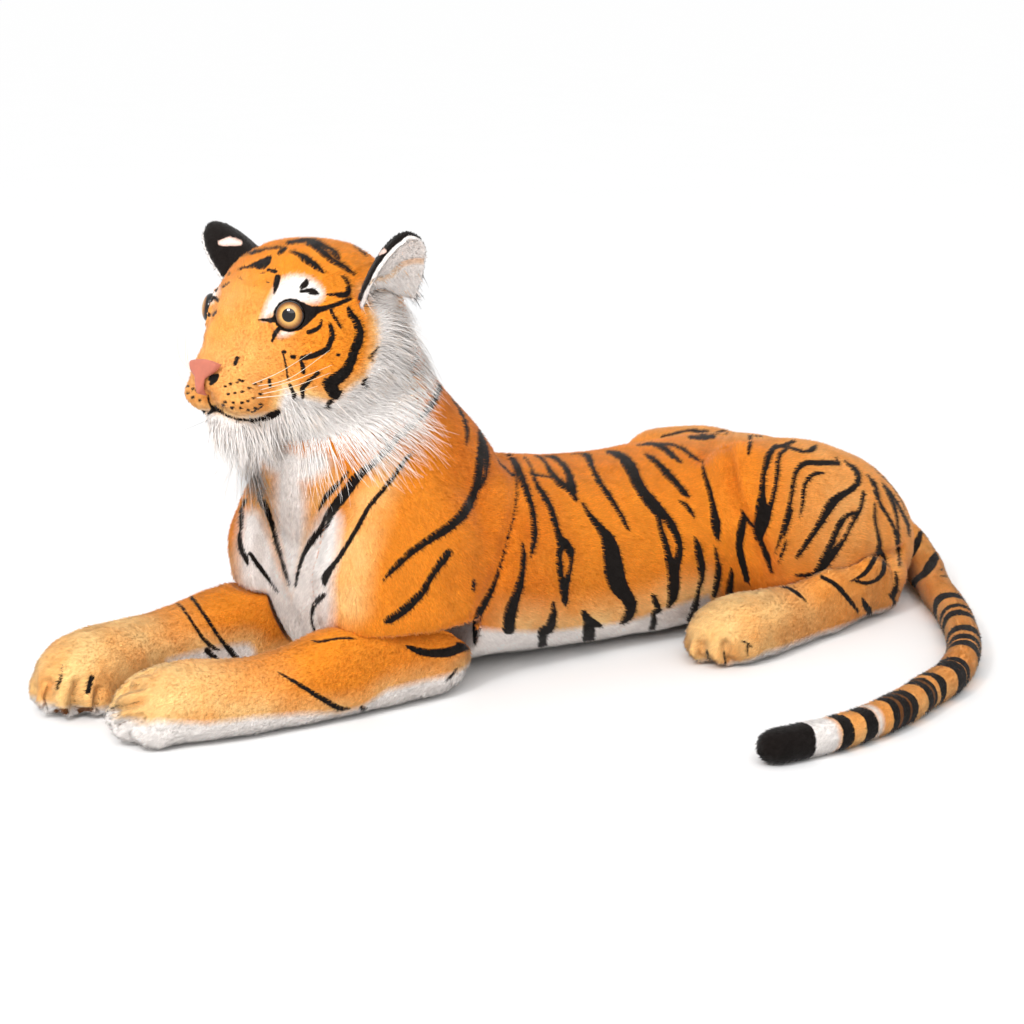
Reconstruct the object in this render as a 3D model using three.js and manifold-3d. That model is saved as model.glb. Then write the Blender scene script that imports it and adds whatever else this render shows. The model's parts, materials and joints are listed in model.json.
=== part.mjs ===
// A large plush tiger lying on its belly, about 1.1 m from paws to rump.
// Millimetres, +Z up, the head towards -Y and the tiger's own left side towards +X.
// The origin is on the floor, under the middle of the belly panel.

import * as THREE from "three";
import { mergeVertices } from "three/addons/utils/BufferGeometryUtils.js";
import Module from "manifold-3d";

const wasm = await Module();
wasm.setup();

// Clearances and cuts
const seam = 0.3;                 // gap between two sewn pieces that touch
const slide = 1.2;                // gap where one piece turns against another
const cupGap = 0.8;               // gap between a tail knuckle and its cup
const floorCut = 0.5;             // how deep a soft form is flattened where it lies
const overrun = 40;               // how far a cutting block passes what it cuts

// Torso
const bodyLength = 858;           // chest front to rump
const chestAhead = 302;           // origin to chest front
const rumpBehind = bodyLength - chestAhead;
const bodyWidth = 284;
const bodyHeight = 240;
const chestRound = 62;
const rumpRound = 118;
const bellyPanelHeight = 34;
const plushWall = 6;
const bibWidth = 132;
const bibDepth = 34;
const bibLow = 34;
const bibHigh = 252;

// Neck and the plane that the head turns on
const neckWidth = 226;
const neckDepth = 250;
const neckFootAhead = 135;
const neckFootHeight = 128;
const neckRun = 62;               // how far the neck's path runs on past the plane before it is cut
const neckLean = 16.7;            // degrees, the turning axis leans forward from upright
const headTurn = 10;              // degrees, the head's turn to the tiger's left as it lies
const headSwing = 25;             // degrees to each side of straight ahead

// Head
const headAhead = 285;            // origin to the skull's middle
const headHeight = 385;           // floor to the skull's middle
const neckBehindHead = 55;        // skull's middle back to where the neck's axis meets the head
const neckBelowHead = 88;
const neckTopAhead = headAhead - neckBehindHead;
const neckTopHeight = headHeight - neckBelowHead;
const headLength = 222;
const headBack = 116;             // skull's middle to its back
const headWidth = 228;
const headDepth = 194;
const skullRound = 62;
const browRound = 34;
const napeWidth = 210;
const napeDepth = 210;
const muzzleStart = 40;           // skull's middle to where the muzzle leaves it
const muzzleLength = 90;
const muzzleWidth = 118;
const muzzleDepth = 100;
const muzzleRound = 26;
const padRadius = 29;
const padOut = 23;
const padAhead = 99;
const padDrop = 52;
const chinWidth = 66;
const chinDepth = 48;
const chinLength = 78;
const chinAhead = 120;            // skull's middle to the chin's front
const chinDrop = 79;
const noseWidth = 46;
const noseHeight = 34;
const noseDepth = 18;
const noseAhead = 131;
const noseDrop = 28;
const noseEdge = 3;

// Eyes
const eyeRadius = 15;
const eyeDome = 11;
const eyeOut = 66;
const eyeAhead = 61;
const eyeRise = 29;
const eyeSink = 3;              // how deep the disc is bedded in the skin
const shankRadius = 3;
const shankLength = 20;
const shankClearance = 0.3;
const washerRadius = 10.5;
const washerThickness = 2.4;
const washerBed = 0.5;            // how deep the washer is bedded in the back of the skin

// Ears
const earOut = 93;
const earBack = 36;
const earRise = 25;
const earHeight = 121;            // from the root inside the head
const earWidth = 76;
const earCup = 19;
const earLayer = 5;

// Long fur
const cheekFurWidth = 78;
const cheekFurThickness = 34;
const throatFurLength = 48;
const throatFurWidth = 108;
const throatFurThickness = 34;

// Forelegs
const elbowOut = 98;
const elbowAhead = 188;
const forelegWidth = 98;
const leftForelegReach = 354;     // elbow to paw front
const rightForelegReach = 380;
const leftForelegHeight = 98;
const rightForelegHeight = 102;
const leftPawOut = 63;
const rightPawOut = 27;
const pawRound = 54;
const pawShare = 0.3;
const armWidth = 122;
const armDepth = 216;
const armHeight = 262;
const armOut = 104;
const armTopOut = 83;
const armAhead = 222;
const armSlope = 22;              // how far the arm's foot stands behind its top
const armSeatShare = 0.84;        // height of the elbow seam in the foreleg's height
const forelegSpread = 10;         // degrees outwards

// Hind legs
const hipOut = 100;
const rumpOut = 78;
const thighWidth = 172;
const thighBehind = 26;           // rump to the thigh's back
const thighEnd = rumpBehind - thighBehind;
const leftThighLength = 346;
const rightThighLength = 304;
const leftThighHeight = 222;
const rightThighHeight = 199;
const thighFrontRound = 48;
const thighBackRound = 92;
const heelOut = 145;
const heelAhead = 144;            // rump to the heel
const heelBehind = rumpBehind - heelAhead;
const shankWidth = 92;
const shankHeight = 77;
const shankReach = 314;           // heel to toes
const heelRound = 58;
const footOut = 50;               // how far the foot lies further out than the heel
const hindPawShare = 0.34;

// Toes
const toeWidth = 28;
const toeLength = 58;
const toeJut = 6;                 // how far the middle toes stand out of the paw
const toePitch = 23;

// Tail
const tailRadius = 24.5;
const tailMiddleRadius = 21;
const tailTipRadius = 18.5;
const tailRootHeight = 66;
const tailRunOut = 484;           // how far the tail lies out to the side
const tailRunAhead = 564;         // from the tail's furthest point forward to abreast of the origin
const tailPastRump = 8;
const tailTurn = 14;              // degrees each way at its two bends
const tailSwayIn = 6;             // degrees, how far the tail's base turns towards the left heel

// Facets
const bodyRing = 24;
const neckRing = 20;
const limbRing = 16;
const smallRing = 12;
const eggRing = 10;
const eyeRing = 16;
const capRings = 3;

const up = new THREE.Vector3(0, 0, 1);
const back = new THREE.Vector3(0, 1, 0);
const outwards = new THREE.Vector3(1, 0, 0);

const colours = {
  orange: 0xeb8c2d,
  white: 0xe8e4e6,
  black: 0x1b1816,
  pink: 0xe98a78,
  amber: 0xc89a5a,
  fibre: 0xf2f0ea,
  washer: 0xd9d9d6,
};

// Turns an indexed geometry whose faces already share their points into a solid
function closedToSolid(geometry) {
  const mesh = new wasm.Mesh({
    numProp: 3,
    vertProperties: new Float32Array(geometry.attributes.position.array),
    triVerts: new Uint32Array(geometry.index.array),
  });
  return new wasm.Manifold(mesh);
}

// Turns a closed three.js shape into a solid that can be joined and cut
function toSolid(geometry) {
  const bare = geometry.clone();
  bare.deleteAttribute("normal");
  bare.deleteAttribute("uv");
  return closedToSolid(mergeVertices(bare));
}

// A cut can leave crumbs beside the piece: this keeps the piece
function mainBody(solid) {
  const bodies = solid.decompose();
  return bodies.reduce((most, body) => (body.volume() > most.volume() ? body : most));
}

function toGeometry(solid) {
  const mesh = solid.getMesh();
  const positions = new Float32Array(mesh.numVert * 3);
  for (let i = 0; i < mesh.numVert; i += 1) {
    for (let axis = 0; axis < 3; axis += 1) {
      positions[i * 3 + axis] = mesh.vertProperties[i * mesh.numProp + axis];
    }
  }
  const geometry = new THREE.BufferGeometry();
  geometry.setAttribute("position", new THREE.BufferAttribute(positions, 3));
  geometry.setIndex(Array.from(mesh.triVerts));
  geometry.computeVertexNormals();
  return geometry;
}

// Reads a table of rows at any share of the length, smoothly between the rows
function readRows(rows, share) {
  let i = 0;
  while (i < rows.length - 2 && share > rows[i + 1][0]) i += 1;
  const a = rows[Math.max(i - 1, 0)];
  const b = rows[i];
  const c = rows[i + 1];
  const d = rows[Math.min(i + 2, rows.length - 1)];
  const span = c[0] - b[0];
  const t = THREE.MathUtils.clamp((share - b[0]) / span, 0, 1);
  return b.map((value, column) => {
    if (column === 0) return share;
    const leave = ((c[column] - a[column]) / (c[0] - a[0])) * span;
    const arrive = ((d[column] - b[column]) / (d[0] - b[0])) * span;
    const t2 = t * t;
    const t3 = t2 * t;
    return value * (2 * t3 - 3 * t2 + 1) + leave * (t3 - 2 * t2 + t)
      + c[column] * (3 * t2 - 2 * t3) + arrive * (t3 - t2);
  });
}

// A stuffed form: superellipse rings along a path, with a rounded cap at each end.
// Each row holds share along, half width, low, high and keel (how far the underside narrows).
function stuffed(form, grow = 0) {
  const length = form.path.getLength();
  const ring = form.ring ?? limbRing;
  const startCap = form.startCap + grow;
  const endCap = form.endCap + grow;
  const total = length + 2 * grow;
  const places = [];
  for (let k = 1; k <= capRings; k += 1) {
    places.push(startCap * (1 - Math.cos((k / capRings) * (Math.PI / 2))));
  }
  const middle = form.middle ?? 5;
  for (let k = 1; k <= middle; k += 1) {
    places.push(startCap + (k / (middle + 1)) * (total - startCap - endCap));
  }
  for (let k = capRings; k >= 1; k -= 1) {
    places.push(total - endCap * (1 - Math.cos((k / capRings) * (Math.PI / 2))));
  }

  const frameAt = (distance) => {
    const share = THREE.MathUtils.clamp((distance - grow) / length, 0, 1);
    const tangent = form.path.getTangentAt(share);
    const side = new THREE.Vector3().crossVectors(tangent, form.rise).normalize();
    const rise = new THREE.Vector3().crossVectors(side, tangent);
    const centre = form.path.getPointAt(share);
    centre.addScaledVector(tangent, distance - grow - share * length);
    const [, halfWidth, low, high, keel] = readRows(form.rows, share);
    centre.addScaledVector(rise, (low + high) / 2);
    return { centre, side, rise, halfWidth, halfHeight: (high - low) / 2, keel: keel ?? 0 };
  };

  const crown = form.crown ?? 2.2;
  const sole = form.sole ?? 2.8;
  const points = [frameAt(0).centre];
  for (const distance of places) {
    const at = frameAt(distance);
    const fromStart = Math.max(0, 1 - distance / startCap);
    const fromEnd = Math.max(0, 1 - (total - distance) / endCap);
    const swell = Math.sqrt(1 - fromStart * fromStart) * Math.sqrt(1 - fromEnd * fromEnd);
    const width = (at.halfWidth + grow) * swell;
    const height = (at.halfHeight + grow) * swell;
    for (let k = 0; k < ring; k += 1) {
      const angle = (k / ring) * Math.PI * 2;
      const across = Math.cos(angle);
      const above = Math.sin(angle);
      const power = 2 / (above >= 0 ? crown : sole);
      const narrowed = above < 0 ? 1 - at.keel * above * above : 1;
      const x = Math.sign(across) * Math.abs(across) ** power * width * narrowed;
      const z = Math.sign(above) * Math.abs(above) ** power * height;
      points.push(at.centre.clone().addScaledVector(at.side, x).addScaledVector(at.rise, z));
    }
  }
  points.push(frameAt(total).centre);

  const index = [];
  const last = points.length - 1;
  for (let k = 0; k < ring; k += 1) {
    const next = (k + 1) % ring;
    index.push(0, 1 + next, 1 + k);
    index.push(last, last - ring + k, last - ring + next);
  }
  for (let row = 0; row < places.length - 1; row += 1) {
    const here = 1 + row * ring;
    const there = here + ring;
    for (let k = 0; k < ring; k += 1) {
      const next = (k + 1) % ring;
      index.push(here + k, here + next, there + next);
      index.push(here + k, there + next, there + k);
    }
  }
  return closedSolid(points, index);
}

// A solid from points and triangles, turned outside out if it comes out inside out
function closedSolid(points, index) {
  const geometry = new THREE.BufferGeometry();
  const positions = new Float32Array(points.flatMap((p) => p.toArray()));
  geometry.setAttribute("position", new THREE.BufferAttribute(positions, 3));
  geometry.setIndex(index);
  const solid = closedToSolid(geometry);
  return solid.volume() < 0 ? closedToSolid(flipped(geometry)) : solid;
}

function flipped(geometry) {
  const turned = geometry.clone();
  const order = Array.from(geometry.index.array);
  for (let i = 0; i < order.length; i += 3) {
    [order[i + 1], order[i + 2]] = [order[i + 2], order[i + 1]];
  }
  turned.setIndex(order);
  return turned;
}

// A solid moved or turned
function placed(solid, matrix) {
  return closedToSolid(toGeometry(solid).applyMatrix4(matrix));
}

function block(low, high) {
  const size = new THREE.Vector3().subVectors(high, low);
  const middle = new THREE.Vector3().addVectors(low, high).multiplyScalar(1 / 2);
  const geometry = new THREE.BoxGeometry(size.x, size.y, size.z);
  return toSolid(geometry.translate(middle.x, middle.y, middle.z));
}

// A cylinder from one point to another
function rod(from, to, radius, sides = smallRing) {
  const run = new THREE.Vector3().subVectors(to, from);
  const geometry = new THREE.CylinderGeometry(radius, radius, run.length(), sides);
  const turn = new THREE.Quaternion().setFromUnitVectors(back, run.clone().normalize());
  geometry.applyQuaternion(turn);
  const middle = new THREE.Vector3().addVectors(from, to).multiplyScalar(1 / 2);
  return toSolid(geometry.translate(middle.x, middle.y, middle.z));
}

function ball(centre, radius, sides = limbRing) {
  const geometry = new THREE.SphereGeometry(radius, sides, sides / 2 + 1);
  geometry.rotateX(Math.PI / 2);
  return toSolid(geometry.translate(centre.x, centre.y, centre.z));
}

// An egg shape: three half sizes, turned to face a direction
function egg(centre, halfSizes, facing = back, sides = eggRing) {
  const geometry = new THREE.SphereGeometry(1, sides, sides / 2 + 1);
  geometry.scale(...halfSizes);
  geometry.applyQuaternion(new THREE.Quaternion().setFromUnitVectors(back, facing));
  return toSolid(geometry.translate(centre.x, centre.y, centre.z));
}

const reach = bodyLength + tailRunOut;
const aboveFloor = block(new THREE.Vector3(-reach, -reach, 0), new THREE.Vector3(reach, reach, reach));

function spaceOver(height) {
  return block(new THREE.Vector3(-reach, -reach, height), new THREE.Vector3(reach, reach, reach));
}

// The turning axis of the head, its plane, and the half spaces on each side
const lean = THREE.MathUtils.degToRad(neckLean);
const turnAxis = new THREE.Vector3(0, -Math.sin(lean), Math.cos(lean));
const turnCentre = new THREE.Vector3(0, -neckTopAhead, neckTopHeight);

function spaceAboveNeck(gap) {
  const geometry = new THREE.BoxGeometry(bodyLength, bodyLength, bodyLength);
  geometry.translate(0, 0, bodyLength / 2 + gap);
  geometry.rotateX(lean);
  geometry.translate(turnCentre.x, turnCentre.y, turnCentre.z);
  return toSolid(geometry);
}

function aboutAxis(centre, axis, degrees) {
  const turn = new THREE.Matrix4().makeRotationAxis(axis, THREE.MathUtils.degToRad(degrees));
  const there = new THREE.Matrix4().makeTranslation(centre.x, centre.y, centre.z);
  const here = new THREE.Matrix4().makeTranslation(-centre.x, -centre.y, -centre.z);
  return there.multiply(turn).multiply(here);
}

// The room that a piece needs when it turns through a few steps
function swept(solid, centre, axis, angles) {
  let room = solid;
  for (const angle of angles) room = room.add(placed(solid, aboutAxis(centre, axis, angle)));
  return room;
}

// Torso: one tapering form for the back, the belly panel, the bib and the filling
const torsoForm = {
  path: new THREE.LineCurve3(
    new THREE.Vector3(0, -chestAhead, 0),
    new THREE.Vector3(0, rumpBehind, 0),
  ),
  rise: up,
  middle: 8,
  startCap: chestRound,
  endCap: rumpRound,
  sole: 3.4,
  crown: 2.3,
};
// Shares of the length, width and height, and the narrowing of the underside between the elbows
const torsoShares = [
  [0.0, 0.86, 0.86, 0.6],
  [0.085, 0.98, 0.98, 0.62],
  [0.21, 1.0, 1.0, 0.6],
  [0.305, 0.96, 0.935, 0.45],
  [0.4, 0.92, 0.875, 0.15],
  [0.505, 0.93, 0.85, 0.06],
  [0.62, 0.93, 0.86, 0.1],
  [0.74, 0.89, 0.85, 0.2],
  [0.84, 0.78, 0.77, 0.2],
  [0.935, 0.62, 0.63, 0.1],
  [1.0, 0.5, 0.52, 0.0],
];

function torsoWithWall(inset) {
  const rows = torsoShares.map(([along, width, height, keel]) => [
    along, (width * bodyWidth) / 2, -floorCut, height * bodyHeight, keel,
  ]);
  return stuffed({ ...torsoForm, rows, ring: inset > 0 ? smallRing : bodyRing }, -inset);
}

// Neck: rises from the shoulders and leans forward to the head
const neckShares = [
  [0.0, 0.96, 1.04],
  [0.3, 1.0, 1.0],
  [0.45, 1.0, 0.96],
  [0.62, 0.97, 0.9],
  [0.85, 0.93, 0.83],
  [1.0, 0.92, 0.82],
];
// Shares of the way ahead and up to the plane that the head turns on
const neckRiseShares = [[0.73, 0.63], [0.88, 0.8]];
const neckCapShare = 0.25;        // of the neck's width
const neckEndShare = 0.33;        // of the run past the plane

function neckGrown(grow) {
  const rows = neckShares.map(([along, width, depth]) => [
    along, (width * neckWidth) / 2, (-depth * neckDepth) / 2, (depth * neckDepth) / 2, 0,
  ]);
  const rising = neckRiseShares.map(([ahead, rise]) => (
    new THREE.Vector3(0, -neckTopAhead * ahead, neckTopHeight * rise)
  ));
  const path = new THREE.CatmullRomCurve3([
    new THREE.Vector3(0, -neckFootAhead, neckFootHeight),
    ...rising,
    turnCentre,
    turnCentre.clone().addScaledVector(turnAxis, neckRun),
  ]);
  const form = { path, rows, rise: back, ring: neckRing, middle: 5, crown: 2, sole: 2 };
  const caps = { startCap: neckCapShare * neckWidth, endCap: neckEndShare * neckRun };
  return stuffed({ ...form, ...caps }, grow);
}

// Foreleg: forearm and paw lie on the floor, the upper arm stands above the elbow
const forelegShares = [
  [0.0, 0.86, 0.9],
  [0.14, 0.96, 1.0],
  [0.4, 0.98, 0.9],
  [0.62, 0.94, 0.74],
  [0.8, 1.0, 0.8],
  [1.0, 0.96, 0.72],
];
// Shares of the way in from the elbow to the toes and of the reach ahead
const forelegRouteShares = [[-0.02, 0.0], [-0.1, 0.32], [0.02, 0.6], [0.5, 0.84], [1.0, 1.0]];

function foreleg(side) {
  const reachAhead = side > 0 ? leftForelegReach : rightForelegReach;
  const height = side > 0 ? leftForelegHeight : rightForelegHeight;
  const pawOut = side > 0 ? leftPawOut : rightPawOut;
  const pivot = new THREE.Vector3(side * elbowOut, -elbowAhead, 0);
  const half = forelegWidth / 2;
  const path = new THREE.CatmullRomCurve3([
    pivot.clone().addScaledVector(back, half),
    ...forelegRouteShares.map(([inward, ahead]) => new THREE.Vector3(
      side * (elbowOut - inward * (elbowOut - pawOut)),
      -elbowAhead - ahead * reachAhead,
      0,
    )),
  ]);
  const rows = forelegShares.map(([along, width, top]) => [
    along, (width * forelegWidth) / 2, -floorCut, top * height, 0,
  ]);
  const form = { path, rows, rise: up, middle: 8, sole: 3.2 };
  return { ...form, side, pivot, height, width: forelegWidth, startCap: half, endCap: pawRound };
}

// Toes: lobes at the front of a paw, the outer ones set back, in shares of their length
const toeBackShares = { 4: [0.34, 0.04, 0.0, 0.3], 3: [0.22, 0.0, 0.2] };
const toeRiseShare = 0.25;       // of the leg's height
const toeHalfHeightShare = 0.25;

function toes(leg, count) {
  const end = leg.path.getPointAt(1);
  const heading = leg.path.getTangentAt(1);
  const across = new THREE.Vector3().crossVectors(heading, up);
  const halfSizes = [toeWidth / 2, toeLength / 2, leg.height * toeHalfHeightShare];
  let lobes = null;
  toeBackShares[count].forEach((setBack, k) => {
    const centre = end.clone()
      .addScaledVector(across, (k - (count - 1) / 2) * toePitch)
      .addScaledVector(heading, toeJut - toeLength / 2 - setBack * toeLength)
      .addScaledVector(up, leg.height * toeRiseShare);
    const lobe = egg(centre, halfSizes, heading);
    lobes = lobes ? lobes.add(lobe) : lobe;
  });
  return lobes;
}

// Upper arm: a flat bulge on the shoulder
const armShares = [
  [0.0, 0.66, 0.7],
  [0.25, 0.96, 0.94],
  [0.55, 1.0, 1.0],
  [0.8, 0.86, 0.86],
  [1.0, 0.62, 0.58],
];
const armFootShare = 0.2;         // of the arm's height, rounded at its foot
const armTopShare = 0.4;          // and at its top

function upperArm(leg, grow) {
  const path = new THREE.LineCurve3(
    new THREE.Vector3(leg.side * armOut, -armAhead + armSlope, 0),
    new THREE.Vector3(leg.side * armTopOut, -armAhead, armHeight),
  );
  const rows = armShares.map(([along, width, depth]) => [
    along, (width * armWidth) / 2, (-depth * armDepth) / 2, (depth * armDepth) / 2, 0,
  ]);
  const caps = { startCap: armFootShare * armHeight, endCap: armTopShare * armHeight };
  const whole = stuffed({ path, rows, rise: back, middle: 4, ...caps }, grow);
  return whole.intersect(spaceOver(leg.height * armSeatShare + seam));
}

// Hind leg: a round haunch, with the lower leg and paw along the floor outside it
const thighShares = [
  [0.0, 0.72, 0.24, 0.98],
  [0.2, 0.92, 0.06, 1.0],
  [0.42, 1.0, 0.0, 0.98],
  [0.65, 0.92, 0.0, 0.86],
  [0.85, 0.72, 0.0, 0.66],
  [1.0, 0.52, 0.0, 0.5],
];

function thigh(side, grow) {
  const start = thighEnd - (side > 0 ? leftThighLength : rightThighLength);
  const height = side > 0 ? leftThighHeight : rightThighHeight;
  const path = new THREE.CatmullRomCurve3([
    new THREE.Vector3(side * hipOut, start, 0),
    new THREE.Vector3(side * hipOut, (start + thighEnd) / 2, 0),
    new THREE.Vector3(side * rumpOut, thighEnd, 0),
  ]);
  const rows = thighShares.map(([along, width, low, top]) => [
    along, (width * thighWidth) / 2, low * height - floorCut, top * height, 0,
  ]);
  const caps = { startCap: thighFrontRound, endCap: thighBackRound };
  return stuffed({ path, rows, rise: up, middle: 6, sole: 2.3, ...caps }, grow);
}

const shankShares = [
  [0.0, 0.86, 0.9],
  [0.3, 0.96, 1.0],
  [0.58, 0.86, 0.88],
  [0.8, 1.02, 0.94],
  [1.0, 1.0, 0.82],
];
// Shares of how far the foot lies out and of the reach ahead, from the heel
const shankRouteShares = [[0.0, 0.0], [0.7, 0.5], [1.0, 0.8], [1.0, 1.0]];

function lowerLeg(side) {
  const half = shankWidth / 2;
  const pivot = new THREE.Vector3(side * heelOut, heelBehind, 0);
  const path = new THREE.CatmullRomCurve3([
    pivot.clone().addScaledVector(back, half),
    ...shankRouteShares.map(([out, ahead]) => new THREE.Vector3(
      side * (heelOut + out * footOut),
      heelBehind - ahead * shankReach,
      0,
    )),
  ]);
  const rows = shankShares.map(([along, width, top]) => [
    along, (width * shankWidth) / 2, -floorCut, top * shankHeight, 0,
  ]);
  const form = { path, rows, rise: up, middle: 7, sole: 3.2, startCap: heelRound, endCap: pawRound };
  return { ...form, side, pivot, height: shankHeight, width: shankWidth };
}

// The space past a place on a path, square to it
function spaceBeyond(path, share, gap) {
  const point = path.getPointAt(share);
  const heading = path.getTangentAt(share);
  const size = bodyWidth;
  const geometry = new THREE.BoxGeometry(size, size, size);
  geometry.translate(0, size / 2 + gap, 0);
  geometry.applyQuaternion(new THREE.Quaternion().setFromUnitVectors(back, heading));
  return toSolid(geometry.translate(point.x, point.y, point.z));
}

// Tail: hand-chosen places in shares of how far it runs out and along, and of its root's height
const tailShares = [
  [0.0, 0.925, 1.0],
  [0.07, 0.996, 0.56],
  [0.165, 0.985, 0.1],
  [0.37, 0.868, 0.0],
  [0.506, 0.794, 0.0],
  [0.638, 0.708, 0.0],
  [0.748, 0.622, 0.0],
  [0.833, 0.531, 0.0],
  [0.883, 0.455, 0.0],
  [0.918, 0.368, 0.0],
  [0.963, 0.273, 0.0],
  [0.99, 0.166, 0.0],
  [1.0, 0.05, 0.0],
  [0.992, -0.022, 0.0],
  [0.98, -0.08, 0.0],
];
const tailTaperShare = 0.3;       // where the tail is down to its middle radius
const tailPieces = [
  { name: "tail_root", endShare: 0.11, steps: 4 },
  { name: "tail_base", endShare: 0.34, steps: 5, turns: true },
  { name: "tail_middle", endShare: 0.575, steps: 6 },
  { name: "tail_bend", endShare: 0.72, steps: 5, turns: true },
  { name: "tail_end", endShare: 0.9, steps: 5 },
  { name: "tail_tip", endShare: 1, steps: 2 },
];

function tailRadiusAt(share) {
  return readRows([[0, tailRadius], [tailTaperShare, tailMiddleRadius], [1, tailTipRadius]], share)[1];
}

const tailRoute = new THREE.CatmullRomCurve3(tailShares.map(([out, behind, rise], k) => {
  const lying = tailRadiusAt(k / (tailShares.length - 1)) - floorCut;
  return new THREE.Vector3(
    out * tailRunOut,
    rumpBehind + tailPastRump - (1 - behind) * tailRunAhead,
    lying + rise * (tailRootHeight - lying),
  );
}));

// A length of the tail, its ends square to the route
const tailLapShare = 0.04;

function tailLength(from, to, steps, startGap, endGap, grow = 0) {
  const start = Math.max(from - tailLapShare, 0);
  const end = Math.min(to + tailLapShare, 1);
  const samples = 2 * steps;
  const points = [];
  const rows = [];
  for (let k = 0; k <= samples; k += 1) {
    const share = start + (k / samples) * (end - start);
    const radius = tailRadiusAt(share);
    points.push(tailRoute.getPointAt(share));
    rows.push([k / samples, radius, -radius, radius, 0]);
  }
  const path = new THREE.CatmullRomCurve3(points);
  const caps = { startCap: tailTipRadius, endCap: tailTipRadius };
  let piece = stuffed({ path, rows, rise: up, ring: smallRing, middle: steps, sole: 2.2, ...caps }, grow);
  if (from > 0) piece = piece.intersect(spaceBeyond(tailRoute, from, startGap));
  if (to < 1) piece = piece.subtract(spaceBeyond(tailRoute, to, -endGap));
  return piece.intersect(aboveFloor);
}

// The room that the tail's first turning piece sweeps beside the left thigh
function tailRoom() {
  const from = tailPieces[0].endShare;
  const base = tailPieces[1];
  const pivot = tailRoute.getPointAt(from);
  const knuckle = ball(pivot, tailRadiusAt(from) + slide);
  const turning = tailLength(from, base.endShare, base.steps, 0, 0, slide).add(knuckle);
  return swept(turning, pivot, up, [-tailSwayIn]);
}

// Head, made facing straight ahead and turned at the end
function onHead(out, ahead, rise) {
  return new THREE.Vector3(out, -headAhead - ahead, headHeight + rise);
}

function alongHead(start, length, drop) {
  return new THREE.LineCurve3(onHead(0, start, -drop), onHead(0, start + length, -drop));
}

const skullShares = [
  [0.0, 0.62, -0.45, 0.72],
  [0.21, 0.86, -0.95, 0.92],
  [0.43, 1.0, -1.08, 1.03],
  [0.635, 0.94, -1.05, 0.99],
  [0.79, 0.72, -0.95, 0.76],
  [0.905, 0.48, -0.8, 0.48],
  [1.0, 0.32, -0.7, 0.28],
];
const napeShares = [[0, 1.04], [0.385, 1.0], [1, 0.84]];
const napeRunShare = 1.6;         // of the neck's run, up into the skull

function skull(grow) {
  const rows = skullShares.map(([along, width, low, high]) => [
    along, (width * headWidth) / 2, (low * headDepth) / 2, (high * headDepth) / 2, 0,
  ]);
  const ring = grow < 0 ? smallRing : bodyRing;
  const form = { path: alongHead(-headBack, headLength, 0), rows, rise: up, ring, middle: 5, sole: 2.2 };
  const main = stuffed({ ...form, startCap: skullRound, endCap: browRound }, grow);
  const napeRows = napeShares.map(([along, size]) => [
    along, (size * napeWidth) / 2, (-size * napeDepth) / 2, (size * napeDepth) / 2, 0,
  ]);
  const foot = turnCentre.clone().addScaledVector(turnAxis, -neckRun);
  const crest = turnCentre.clone().addScaledVector(turnAxis, neckRun * napeRunShare);
  const napePath = new THREE.LineCurve3(foot, crest);
  const nape = { path: napePath, rows: napeRows, rise: back, ring: smallRing, middle: 2 };
  const caps = { startCap: neckEndShare * neckRun, endCap: neckRun / 2 };
  return main.add(stuffed({ ...nape, ...caps, crown: 2, sole: 2 }, grow));
}

const muzzleShares = [
  [0.0, 1.0, -0.7, 0.35],
  [0.4, 0.87, -0.62, 0.11],
  [0.7, 0.77, -0.6, -0.05],
  [1.0, 0.64, -0.54, -0.14],
];
const padShares = [1, 0.95, 0.82];

function muzzle(grow) {
  const rows = muzzleShares.map(([along, width, low, high]) => [
    along, (width * muzzleWidth) / 2, low * muzzleDepth, high * muzzleDepth, 0,
  ]);
  const caps = { startCap: muzzleRound, endCap: muzzleRound };
  const path = alongHead(muzzleStart, muzzleLength, 0);
  const bridge = { path, rows, rise: up, middle: 3, sole: 2.2, ...caps };
  const pads = [1, -1].map((side) => egg(
    onHead(side * padOut, padAhead, -padDrop),
    padShares.map((share) => share * padRadius + grow),
  ));
  return stuffed(bridge, grow).add(pads[0]).add(pads[1]);
}

const chinShares = [[0, 1.0, 1.0], [0.6, 0.98, 1.0], [1, 0.84, 0.84]];
const chinRootShare = 0.25;       // of the chin's depth, rounded where it leaves the head

function chin(grow) {
  const rows = chinShares.map(([along, width, depth]) => [
    along, (width * chinWidth) / 2, (-depth * chinDepth) / 2, (depth * chinDepth) / 2, 0,
  ]);
  const path = alongHead(chinAhead - chinLength, chinLength, chinDrop);
  const caps = { startCap: chinRootShare * chinDepth, endCap: chinDepth / 2 };
  return stuffed({ path, rows, rise: up, ring: smallRing, middle: 2, ...caps }, grow);
}

// Nose: a rounded T, wide across the nostrils and narrow at the lip.
// Each row holds the control point and the end of a curve, in shares of the half width and the height.
const noseTopShares = [-1, 0.42];
const noseOutlineShares = [
  [0, 0.6, 1, 0.42],
  [1.05, 0.12, 0.4, -0.08],
  [0.26, -0.4, 0, -0.58],
  [-0.26, -0.4, -0.4, -0.08],
  [-1.05, 0.12, -1, 0.42],
];

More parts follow.
